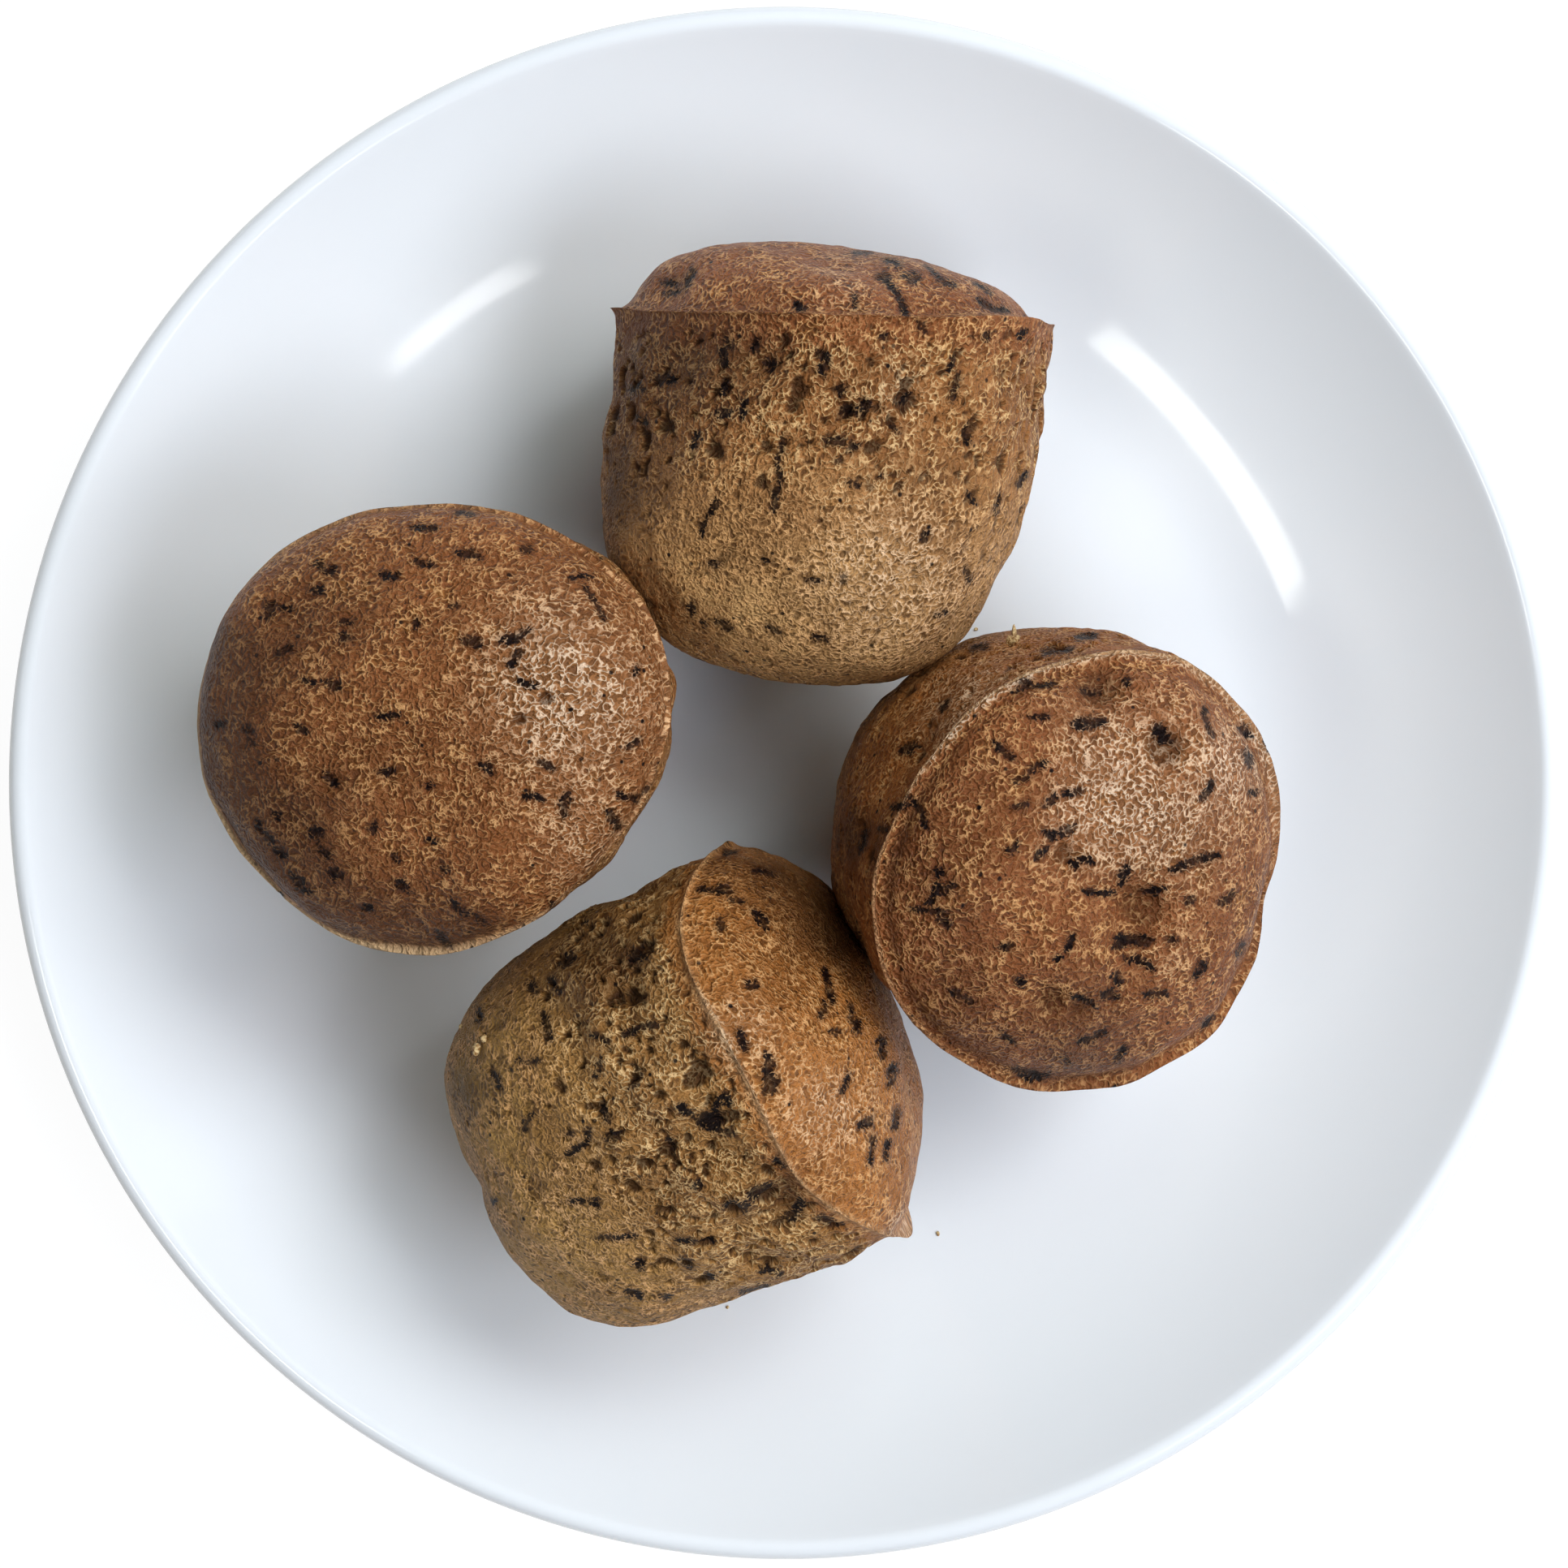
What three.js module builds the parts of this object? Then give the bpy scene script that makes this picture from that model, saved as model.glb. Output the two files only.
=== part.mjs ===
// Four steamed banana cakes on a round white plate.
// Millimetres, +Z up, +X to the right and +Y away from someone who looks down on the plate.
// The origin is at the middle of the plate's foot, on the surface that the plate stands on.
import * as THREE from "three";

// ---- The plate: a round coupe, 230 mm across ----
const PLATE_RADIUS = 115;
const PLATE_HEIGHT = 27.5;
const WELL_RADIUS = 70;        // the flat middle that the cakes stand on
const WELL_HEIGHT = 7;
const WALL_THICKNESS = 4;
const RIM_SLOPE = 40;          // degrees, where the wall reaches the lip
const WELL_SOFTNESS = 14;      // how far the flat runs on into the bend
const RIM_SOFTNESS = 14;       // how far the lip's slope runs back down
const FOOT_RADIUS = 64;        // middle of the foot ring
const FOOT_WIDTH = 5;
const PLATE_SEGMENTS = 72;
const PLATE_WALL_STEPS = 6;
const LIP_STEPS = 4;
const PLATE_COLOUR = "#e6e9ee";

// ---- The cakes: steamed in round moulds, so each has a full body, a thin rim and a low dome ----
const CAKE_SEGMENTS = 48;
const BODY_STEPS = 14;
const DOME_STEPS = 7;
const CAKE_ROUGHNESS = 0.75;
const LIP_REACH = 0.6;         // how far the rim stands out from the side below it
const LIP_DROP = 1.5;
const GAP = 0.3;               // between a cake and what it touches
const SETTLING = 0.4;          // how much of its lowest side a cake's own weight presses flat
const EAR_DEPTH = 6;           // how far below the rim an ear of the rim still shows
const RIM_WAVE_DEPTH = 12;     // and a wave of the rim
const LUMP_LENGTH = 24;        // the slow unevenness of every cake
const LUMP_HEIGHT = 0.4;
const CRAG_LENGTH = 10;        // torn crumb below the rim
const WAVE_COUNT = 9;
const GOLDEN_ANGLE = Math.PI * (3 - Math.sqrt(5));

// In a cake's own frame the rim lies in the plane z = 0, with the dome above and the body below.
// An azimuth goes round that axis, in degrees. tilt is how far the cake leans over from upright,
// and heading is the direction on the plate that its top leans to. Of the other entries,
// flange is [width, how much wider, at which azimuth], domeSkew, oval, egg, lean and baseSlant are
// [how much, at which azimuth], each of rimWaves is [height, waves all round, azimuth of a crest],
// each of ears is [reach, less than 0 for a notch, azimuth, width in degrees], crags is [height,
// middle, half width of the band] and each of dents is [azimuth, radius on the dome or -distance
// below the rim, half width, depth].
const CAKES = [
  {
    name: "cake_back",
    colour: "#8e6646",
    place: [7.6, 67.2],
    heading: 88.3,
    tilt: 82.3,
    rim: 31.9,
    body: 52.4,
    fullness: 3.15,
    dome: 9.9,
    domeFullness: 2.0,
    domeSkew: [0.3, 90],
    flange: [3.5, 1.5, -90],
    oval: [0.026, 56],
    egg: [0, 0],
    lean: [6.4, 90],
    baseSlant: [8, 90],
    rimWaves: [[0.2, 3, -19], [0.1, 5, 5]],
    ears: [[1.2, 101, 6], [-0.9, -98, 16]],
    crags: [0.4, -10, 12],
    dents: [
      [-177, 20, 5, 0.7],
      [-165, 25.5, 4, 0.8],
      [126, 27, 4, 0.8],
      [162, -7, 4, 1.2],
      [-177, -13, 4, 1.1],
    ],
    seed: 1.3,
  },
  {
    name: "cake_left",
    colour: "#7b5539",
    place: [-48.4, 8.3],
    heading: 1.3,
    tilt: -1.4,
    rim: 31.8,
    body: 54,
    fullness: 2.9,
    dome: 10.5,
    domeFullness: 2.3,
    domeSkew: [0.25, 20],
    flange: [0.9, 0.4, 0],
    oval: [0.034, 15],
    egg: [0.026, 26],
    lean: [0.5, -106],
    baseSlant: [0, 0],
    rimWaves: [[0.1, 3, 56], [0.1, 4, 4]],
    ears: [[0.9, -94, 15], [-0.8, -48, 16], [0.5, -155, 15]],
    crags: [0.35, -10, 12],
    dents: [[-94, 27, 6, 1.6], [-98, 19, 5, 0.6]],
    seed: 2.9,
  },
  {
    name: "cake_right",
    colour: "#7d573d",
    place: [41.6, -12.8],
    heading: -30.9,
    tilt: 21.3,
    rim: 31,
    body: 54.6,
    fullness: 2.57,
    dome: 10.5,
    domeFullness: 2.3,
    domeSkew: [0, 0],
    flange: [2.0, 1.0, 0],
    oval: [0.036, 90],
    egg: [0.022, -27],
    lean: [4.5, 72],
    baseSlant: [16, 17],
    rimWaves: [[0.3, 3, -8], [0.3, 4, -1]],
    ears: [[-0.9, 25, 20]],
    crags: [0.35, -10, 12],
    dents: [[123, 26, 5, 1.4], [102, 19, 5, 1.2], [-16, 5, 6, 1.2], [-88, 17, 4.5, 0.9]],
    seed: 4.1,
  },
  {
    name: "cake_front",
    colour: "#84633f",
    place: [2.9, -34.9],
    heading: 26.1,
    tilt: 72.7,
    rim: 31.55,
    body: 54.2,
    fullness: 3.46,
    dome: 11,
    domeFullness: 1.85,
    domeSkew: [0, 0],
    flange: [1.3, 0.6, 0],
    oval: [0.039, 13],
    egg: [0.052, 24],
    lean: [1, 135],
    baseSlant: [13.4, 164],
    rimWaves: [[0.26, 2, 62], [0.33, 3, -12], [0.42, 4, -18], [1, 5, 34.5]],
    ears: [[3, -75, 14]],
    crags: [0.8, -13, 12],
    dents: [[-175, -7, 5, 1.1], [-143, -7, 7, 1.4], [178, 28, 4, 0.6]],
    seed: 5.7,
  },
];

// Where two cakes lean on each other, both are pressed flat: a point of the shared flat,
// and the way it faces, from the first cake to the second, as [azimuth, elevation] in degrees.
const CONTACTS = [
  { cakes: ["cake_back", "cake_left"], at: [-22, 26.8, 41.1], facing: [-148, 8] },
  { cakes: ["cake_back", "cake_right"], at: [21.2, 17.4, 36.2], facing: [-57, -5] },
  { cakes: ["cake_right", "cake_front"], at: [10.2, -21.9, 38.6], facing: [-149, -4] },
];

const radians = THREE.MathUtils.degToRad;

// ---- Plate ----

function plateProfile() {
  const lipRadius = WALL_THICKNESS / 2;
  const slope = radians(RIM_SLOPE);
  const lipCentre = new THREE.Vector2(PLATE_RADIUS - lipRadius, PLATE_HEIGHT - lipRadius);
  const across = new THREE.Vector2(-Math.sin(slope), Math.cos(slope)).multiplyScalar(lipRadius);
  const along = new THREE.Vector2(Math.cos(slope), Math.sin(slope)).multiplyScalar(RIM_SOFTNESS);
  const innerLip = lipCentre.clone().add(across);
  const outerLip = lipCentre.clone().sub(across);
  const wallInside = new THREE.CubicBezierCurve(
    new THREE.Vector2(WELL_RADIUS, WELL_HEIGHT),
    new THREE.Vector2(WELL_RADIUS + WELL_SOFTNESS, WELL_HEIGHT),
    innerLip.clone().sub(along),
    innerLip,
  );
  const underside = WELL_HEIGHT - WALL_THICKNESS;
  const footOutside = FOOT_RADIUS + FOOT_WIDTH / 2;
  const footInside = FOOT_RADIUS - FOOT_WIDTH / 2;
  const wallOutside = new THREE.CubicBezierCurve(
    outerLip,
    outerLip.clone().sub(along),
    new THREE.Vector2(WELL_RADIUS + WELL_SOFTNESS, underside),
    new THREE.Vector2(footOutside + 1, underside),
  );
  const lip = [];
  for (let i = 1; i < LIP_STEPS; i += 1) {
    const turn = slope + Math.PI / 2 - (i / LIP_STEPS) * Math.PI;
    lip.push(new THREE.Vector2(Math.cos(turn), Math.sin(turn)).multiplyScalar(lipRadius).add(lipCentre));
  }
  const fromTop = [
    new THREE.Vector2(0, WELL_HEIGHT),
    ...wallInside.getPoints(PLATE_WALL_STEPS),
    ...lip,
    ...wallOutside.getPoints(PLATE_WALL_STEPS),
    new THREE.Vector2(footOutside, 0),
    new THREE.Vector2(footInside, 0),
    new THREE.Vector2(footInside - 1, underside),
    new THREE.Vector2(0, underside),
  ];
  return fromTop.reverse();
}

function makePlate() {
  const geometry = new THREE.LatheGeometry(plateProfile(), PLATE_SEGMENTS).rotateX(Math.PI / 2);
  const material = new THREE.MeshStandardMaterial({ color: PLATE_COLOUR, roughness: 0.12, metalness: 0 });
  const plate = new THREE.Mesh(geometry, material);
  plate.name = "plate";
  return plate;
}

// ---- Cakes ----

// The side view of a cake's body, from the middle of its base to the edge of its rim.
class BodyCurve extends THREE.Curve {
  constructor(cake) {
    super();
    this.cake = cake;
  }

  getPoint(t) {
    const turn = (t * Math.PI) / 2;
    const out = Math.sin(turn) ** (2 / this.cake.fullness);
    const down = Math.abs(Math.cos(turn)) ** (2 / this.cake.fullness);
    const length = this.cake.body - LIP_DROP;
    return new THREE.Vector2((this.cake.rim - LIP_REACH) * out, -LIP_DROP - length * down);
  }
}

class DomeCurve extends THREE.Curve {
  constructor(cake) {
    super();
    this.cake = cake;
  }

  getPoint(t) {
    const turn = (t * Math.PI) / 2;
    const out = Math.abs(Math.cos(turn)) ** (2 / this.cake.domeFullness);
    const up = Math.sin(turn) ** (2 / this.cake.domeFullness);
    return new THREE.Vector2((this.cake.rim - this.cake.flange[0]) * out, this.cake.dome * up);
  }
}

function cakeProfile(cake) {
  const body = new BodyCurve(cake).getSpacedPoints(BODY_STEPS);
  const dome = new DomeCurve(cake).getSpacedPoints(DOME_STEPS);
  body[0].x = 0;
  dome[DOME_STEPS].x = 0;
  return [...body, new THREE.Vector2(cake.rim, 0), ...dome];
}

// A smooth random field: the sum of a few waves that run in evenly spread directions.
function waves(point, length, seed) {
  let sum = 0;
  for (let k = 0; k < WAVE_COUNT; k += 1) {
    const up = 1 - (2 * k + 1) / WAVE_COUNT;
    const level = Math.sqrt(1 - up * up);
    const around = k * GOLDEN_ANGLE;
    const distance = level * (point.x * Math.cos(around) + point.y * Math.sin(around)) + up * point.z;
    sum += Math.sin((2 * Math.PI * distance) / length + seed * (k + 1));
  }
  return sum / Math.sqrt(WAVE_COUNT);
}

// The unit vector with an azimuth and an elevation, in degrees.
function direction(azimuth, elevation) {
  const level = Math.cos(radians(elevation));
  const across = new THREE.Vector2(Math.cos(radians(azimuth)), Math.sin(radians(azimuth)));
  return new THREE.Vector3(across.x * level, across.y * level, Math.sin(radians(elevation)));
}

function angleBetween(a, b) {
  return Math.abs(((((a - b + 180) % 360) + 360) % 360) - 180);
}

// How far a point lies towards an azimuth.
function towards(point, azimuth) {
  return point.x * Math.cos(radians(azimuth)) + point.y * Math.sin(radians(azimuth));
}

// Where a dent lies on the plain cake: on the dome by its radius, on the side by its depth.
function dentPoint(cake, azimuth, where) {
  const turn = radians(azimuth);
  if (where > 0) {
    const share = Math.min(where / (cake.rim - cake.flange[0]), 1);
    const rise = cake.dome * (1 - share ** cake.domeFullness) ** (1 / cake.domeFullness);
    return new THREE.Vector3(where * Math.cos(turn), where * Math.sin(turn), rise);
  }
  const share = Math.min(-where / cake.body, 1);
  const radius = cake.rim * (1 - share ** cake.fullness) ** (1 / cake.fullness);
  return new THREE.Vector3(radius * Math.cos(turn), radius * Math.sin(turn), where);
}

// The relief at a point of the plain cake: slow lumps, torn crumb below the rim and single dents.
function reliefAt(cake, plain) {
  const [cragHeight, cragMiddle, cragWidth] = cake.crags;
  const cragBand = Math.exp(-(((plain.z - cragMiddle) / cragWidth) ** 2));
  let relief = LUMP_HEIGHT * waves(plain, LUMP_LENGTH, cake.seed);
  relief += cragHeight * cragBand * waves(plain, CRAG_LENGTH, cake.seed + 1);
  for (const [azimuth, where, width, depth] of cake.dents) {
    const distance = plain.distanceTo(dentPoint(cake, azimuth, where));
    relief -= depth * Math.exp(-((distance / width) ** 2));
  }
  return relief;
}

// Bends one point of the plain round cake into the uneven real one.
function unevenPoint(cake, plain, onDome) {
  const point = plain.clone();
  const azimuth = THREE.MathUtils.radToDeg(Math.atan2(plain.y, plain.x));
  const radius = Math.hypot(plain.x, plain.y);
  const domeRadius = cake.rim - cake.flange[0];
  const below = Math.max(0, -plain.z);

  // the rim's width, ears, lobes and waves
  let stretch = 1;
  if (onDome) {
    stretch -= (cake.flange[1] * Math.cos(radians(azimuth - cake.flange[2]))) / domeRadius;
  } else {
    const nearRim = Math.max(0, 1 - below / EAR_DEPTH) ** 2;
    for (const [reach, at, width] of cake.ears) {
      stretch += (reach * Math.exp(-((angleBetween(azimuth, at) / width) ** 2)) * nearRim) / cake.rim;
    }
  }
  stretch *= 1 + cake.egg[0] * Math.cos(radians(3 * (azimuth - cake.egg[1])));
  point.x *= stretch;
  point.y *= stretch;
  const waveShare = onDome ? (radius / domeRadius) ** 2 : Math.exp(-below / RIM_WAVE_DEPTH);
  for (const [height, count, crest] of cake.rimWaves) {
    point.z += height * Math.cos(radians(count * (azimuth - crest))) * waveShare;
  }

  const outward = new THREE.Vector3(plain.x, plain.y, onDome ? plain.z + cake.rim : plain.z + cake.body / 3);
  point.addScaledVector(outward.normalize(), reliefAt(cake, plain));

  // the body's slanted base and leaning axis, the skewed dome, the oval plan
  const depthShare = below / cake.body;
  point.z += Math.tan(radians(cake.baseSlant[0])) * towards(point, cake.baseSlant[1]) * depthShare ** 1.5;
  point.x += cake.lean[0] * Math.cos(radians(cake.lean[1])) * depthShare;
  point.y += cake.lean[0] * Math.sin(radians(cake.lean[1])) * depthShare;
  if (onDome) {
    point.z *= 1 + (cake.domeSkew[0] * towards(point, cake.domeSkew[1])) / cake.rim;
  }
  const long = towards(point, cake.oval[1]) * (1 + cake.oval[0]);
  const short = towards(point, cake.oval[1] + 90) * (1 - cake.oval[0]);
  const turn = radians(cake.oval[1]);
  point.x = long * Math.cos(turn) - short * Math.sin(turn);
  point.y = long * Math.sin(turn) + short * Math.cos(turn);
  return point;
}

// Moves back what would stand through a flat: the plate's well, or where two cakes meet.
function pressFlat(point, flat, outward, gap) {
  const beyond = point.clone().sub(flat).dot(outward) + gap;
  if (beyond > 0) {
    point.addScaledVector(outward, -beyond);
  }
}

function makeCake(cake) {
  const profile = cakeProfile(cake);
  const geometry = new THREE.LatheGeometry(profile, CAKE_SEGMENTS).rotateX(Math.PI / 2);
  const vertices = geometry.attributes.position;
  const pose = new THREE.Euler(0, radians(cake.tilt), radians(cake.heading), "ZYX");
  const turning = new THREE.Quaternion().setFromEuler(pose);
  const firstDomeRow = BODY_STEPS + 2;
  const points = [];
  for (let i = 0; i < vertices.count; i += 1) {
    const plain = new THREE.Vector3().fromBufferAttribute(vertices, i);
    const onDome = i % profile.length >= firstDomeRow;
    points.push(unevenPoint(cake, plain, onDome).applyQuaternion(turning));
  }
  const lowest = Math.min(...points.map((point) => point.z));
  const centre = new THREE.Vector3(cake.place[0], cake.place[1], WELL_HEIGHT + GAP - SETTLING - lowest);
  points.forEach((point) => point.add(centre));

  const down = new THREE.Vector3(0, 0, -1);
  const well = new THREE.Vector3(0, 0, WELL_HEIGHT);
  points.forEach((point) => pressFlat(point, well, down, GAP));
  for (const { cakes, at, facing } of CONTACTS.filter((contact) => contact.cakes.includes(cake.name))) {
    const outward = direction(...facing).multiplyScalar(cake.name === cakes[0] ? 1 : -1);
    const flat = new THREE.Vector3(...at);
    points.forEach((point) => pressFlat(point, flat, outward, GAP / 2));
  }

  const untilted = turning.clone().invert();
  points.forEach((point, i) => {
    point.sub(centre).applyQuaternion(untilted);
    vertices.setXYZ(i, point.x, point.y, point.z);
  });
  geometry.computeVertexNormals();
  const mesh = new THREE.Mesh(
    geometry,
    new THREE.MeshStandardMaterial({ color: cake.colour, roughness: CAKE_ROUGHNESS, metalness: 0 }),
  );
  mesh.name = cake.name;
  mesh.position.copy(centre);
  mesh.quaternion.copy(turning);
  return mesh;
}

const group = new THREE.Group();
group.add(makePlate());
for (const cake of CAKES) {
  group.add(makeCake(cake));
}

export default group;
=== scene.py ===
"""The looks of four steamed banana cakes on a round white plate.

Lengths in the constants and tables are millimetres and angles are degrees; MM turns a length into
Blender's metres. +X is to the right and +Y away from someone who looks down on the plate, +Z is up,
and the origin is at the middle of the plate's foot.
"""

import math
from types import SimpleNamespace as Cake

import bmesh
import bpy
import numpy as np
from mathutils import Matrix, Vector
from numpy.linalg import norm


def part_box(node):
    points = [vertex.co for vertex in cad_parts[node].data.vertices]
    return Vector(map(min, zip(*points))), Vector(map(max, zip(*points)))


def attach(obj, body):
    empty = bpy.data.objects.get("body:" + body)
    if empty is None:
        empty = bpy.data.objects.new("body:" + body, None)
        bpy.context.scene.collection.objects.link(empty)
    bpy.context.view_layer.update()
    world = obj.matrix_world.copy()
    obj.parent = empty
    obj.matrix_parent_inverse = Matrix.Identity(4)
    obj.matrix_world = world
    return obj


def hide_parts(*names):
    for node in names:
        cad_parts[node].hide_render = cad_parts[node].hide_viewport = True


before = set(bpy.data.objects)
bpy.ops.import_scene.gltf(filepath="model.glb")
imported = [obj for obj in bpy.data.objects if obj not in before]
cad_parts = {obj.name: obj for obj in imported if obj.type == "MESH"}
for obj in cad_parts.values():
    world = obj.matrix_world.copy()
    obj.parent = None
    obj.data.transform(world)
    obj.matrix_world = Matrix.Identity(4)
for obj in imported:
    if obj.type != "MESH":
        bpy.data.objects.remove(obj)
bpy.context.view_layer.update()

MM = 0.001

# ---- The camera: straight above the plate, as in the photo ----
PHOTO_SIZE = 1932
PHOTO_FOCUS = 3944.7  # the focal length, in pixels of the photo
CAMERA_PLACE = (-0.16, -0.16, 500)
SENSOR_WIDTH = 36
CAMERA_RANGE = (0.01, 20)  # metres

# ---- The plate: a round coupe ----
WELL_RADIUS = 70
WELL_HEIGHT = 7
WALL_THICKNESS = 4
RIM_SLOPE = 40
WELL_SOFTNESS = 14
RIM_SOFTNESS = 14
FOOT_RADIUS = 64
FOOT_WIDTH = 5
FOOT_ROUNDING = 1.2
FOOT_BULGE = 0.4  # how far its rounded sides stand out
BARE_FOOT_HEIGHT = 0.6  # up to where the foot has no glaze
INNERMOST = 0.5  # radius of the first and last ring
PLATE_SEGMENTS = 288
UNDER_STEPS = 24
OVER_STEPS = 30
FOOT_STEPS = 6
WALL_STEPS = 40
LIP_STEPS = 14

# ---- The cakes ----
CAKE_SEGMENTS = 384
PROFILE_STEP = 0.05
RING_SPACING = 0.56
RIM_DENSITY = 1.2  # how much closer the rings lie at the rim
LIP_REACH = 0.6
LIP_DROP = 1.5
LIP_WIDTH = 1.0
LIP_SOFTNESS = 0.3
EDGE_SOFTNESS = 1.6  # everywhere but at the rim's lip
TOUCHING = 0.02  # what is left between things that touch
SETTLING = 0.4  # how far a cake's underside is pressed flat
EAR_DEPTH = 6
RIM_WAVE_DEPTH = 12
LUMP_LENGTH = 24
LUMP_HEIGHT = 0.4
CRAG_LENGTH = 10
WAVE_COUNT = 9
GOLDEN_ANGLE = math.pi * (3 - math.sqrt(5))

# ---- The crumb's relief ----
CRUMB_LUMPS = [(9, 0.45), (4.4, 0.28), (2.2, 0.12)]  # each layer's length and height
GRAIN_LENGTH = 1.15
GRAIN_HEIGHT = 0.05
TORN_GRAIN = 0.06  # what torn crumb adds
TORN_DEPTHS = (34, 16)  # below the rim, where torn crumb starts and where it is full
CALM_CRUMB = 0.45  # how torn the side is elsewhere
SMALL_PIT_SPACING = 1.9
LARGE_PIT_SPACING = 4.4
PIT_DEPTH = 0.25
TORN_PIT_DEPTH = 0.55  # what torn crumb adds
FIBRE_DEPTH = 0.25
CRUMB_SINK = 0.16  # how much lower the crumb lies than the plain cake

# The entries are those of the solids: a cake's own frame has the rim in the plane z = 0, the dome above
# and the body below. flange is (width, how much wider, at which azimuth); dome_skew, oval, egg, lean and
# base_slant are (how much, at which azimuth); rim_waves are (height, waves all round, azimuth of a crest),
# ears are (reach, azimuth, width), crags are (height, middle, half width of the band) and dents are
# (azimuth, radius on the dome or -distance below the rim, half width, depth).
# torn is how rough the crumb below the rim is, next to that of the other cakes, and how strongly shade is
# painted in its tears. bead is the rim's raised edge, as (height, width, azimuth at which it is highest); a
# sheen is painted on it and shade in the groove beside it. band is how far below the rim the smooth crust of
# the dome goes on, and lip is how pale the rim's very edge is. tones are the colours of the side, the base
# and the dome, and strokes are how clearly fine ridges show on the side and on the dome, with their painted
# highlights and the painted shade in the gaps between them.
CAKES = {
    "cake_back": Cake(
        place=(7.6, 67.2), heading=88.3, tilt=82.3, rim=31.9, body=52.4, fullness=3.15, dome=9.9,
        dome_fullness=2.0, dome_skew=(0.3, 90), flange=(3.5, 1.5, -90), oval=(0.026, 56), egg=(0, 0),
        lean=(6.4, 90), base_slant=(8, 90), rim_waves=[(0.2, 3, -19), (0.1, 5, 5)],
        ears=[(1.2, 101, 6), (-0.9, -98, 16)], crags=(0.4, -10, 12),
        dents=[(-177, 20, 5, 0.7), (-165, 25.5, 4, 0.8), (126, 27, 4, 0.8), (162, -7, 4, 1.2),
               (-177, -13, 4, 1.1)],
        seed=1.3, torn=1.4, bead=(0.1, 1.0, 0), band=3.5, lip=0.2,
        tones=("#9a6334", "#c2955e", "#92542d"), strokes=(1.0, 1.0),
    ),
    "cake_left": Cake(
        place=(-48.4, 8.3), heading=1.3, tilt=-1.4, rim=31.8, body=54, fullness=2.9, dome=10.5,
        dome_fullness=2.3, dome_skew=(0.25, 20), flange=(0.9, 0.4, 0), oval=(0.034, 15), egg=(0.026, 26),
        lean=(0.5, -106), base_slant=(0, 0), rim_waves=[(0.1, 3, 56), (0.1, 4, 4)],
        ears=[(0.9, -94, 15), (-0.8, -48, 16), (0.5, -155, 15)], crags=(0.35, -10, 12),
        dents=[(-94, 27, 6, 1.6), (-98, 19, 5, 0.6)],
        seed=2.9, torn=1.0, bead=(0.15, 1.2, 205), band=2, lip=0.95,
        tones=("#9a6334", "#a87a42", "#874f28"), strokes=(1.0, 0.9),
    ),
    "cake_right": Cake(
        place=(41.6, -12.8), heading=-30.9, tilt=21.3, rim=31, body=54.6, fullness=2.57, dome=10.5,
        dome_fullness=2.3, dome_skew=(0, 0), flange=(2.0, 1.0, 0), oval=(0.036, 90), egg=(0.022, -27),
        lean=(4.5, 72), base_slant=(16, 17), rim_waves=[(0.3, 3, -8), (0.3, 4, -1)],
        ears=[(-0.9, 25, 20)], crags=(0.35, -10, 12),
        dents=[(123, 26, 5, 1.4), (102, 19, 5, 1.2), (-16, 5, 6, 1.2), (-88, 17, 4.5, 0.9)],
        seed=4.1, torn=1.0, bead=(0.42, 1.9, 150), band=2, lip=0.4,
        tones=("#a4622e", "#a0733c", "#864c27"), strokes=(0.8, 0.9),
    ),
    "cake_front": Cake(
        place=(2.9, -34.9), heading=26.1, tilt=72.7, rim=31.55, body=54.2, fullness=3.46, dome=11,
        dome_fullness=1.85, dome_skew=(0, 0), flange=(1.3, 0.6, 0), oval=(0.039, 13), egg=(0.052, 24),
        lean=(1, 135), base_slant=(13.4, 164),
        rim_waves=[(0.26, 2, 62), (0.33, 3, -12), (0.42, 4, -18), (1, 5, 34.5)],
        ears=[(3, -75, 14)], crags=(0.8, -13, 12),
        dents=[(-175, -7, 5, 1.1), (-143, -7, 7, 1.4), (178, 28, 4, 0.6)],
        seed=5.7, torn=1.9, bead=(0.2, 1.2, 180), band=2.5, lip=0.35,
        tones=("#9b6c38", "#a67e42", "#a8682f"), strokes=(1.0, 0.95),
    ),
}

# Where two cakes lean on each other both are pressed flat: a point of the shared flat, and the way it
# faces, from the first cake to the second, as (azimuth, elevation).
CONTACTS = [
    (("cake_back", "cake_left"), (-22, 26.8, 41.1), (-148, 8)),
    (("cake_back", "cake_right"), (21.2, 17.4, 36.2), (-57, -5)),
    (("cake_right", "cake_front"), (10.2, -21.9, 38.6), (-149, -4)),
]
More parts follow.
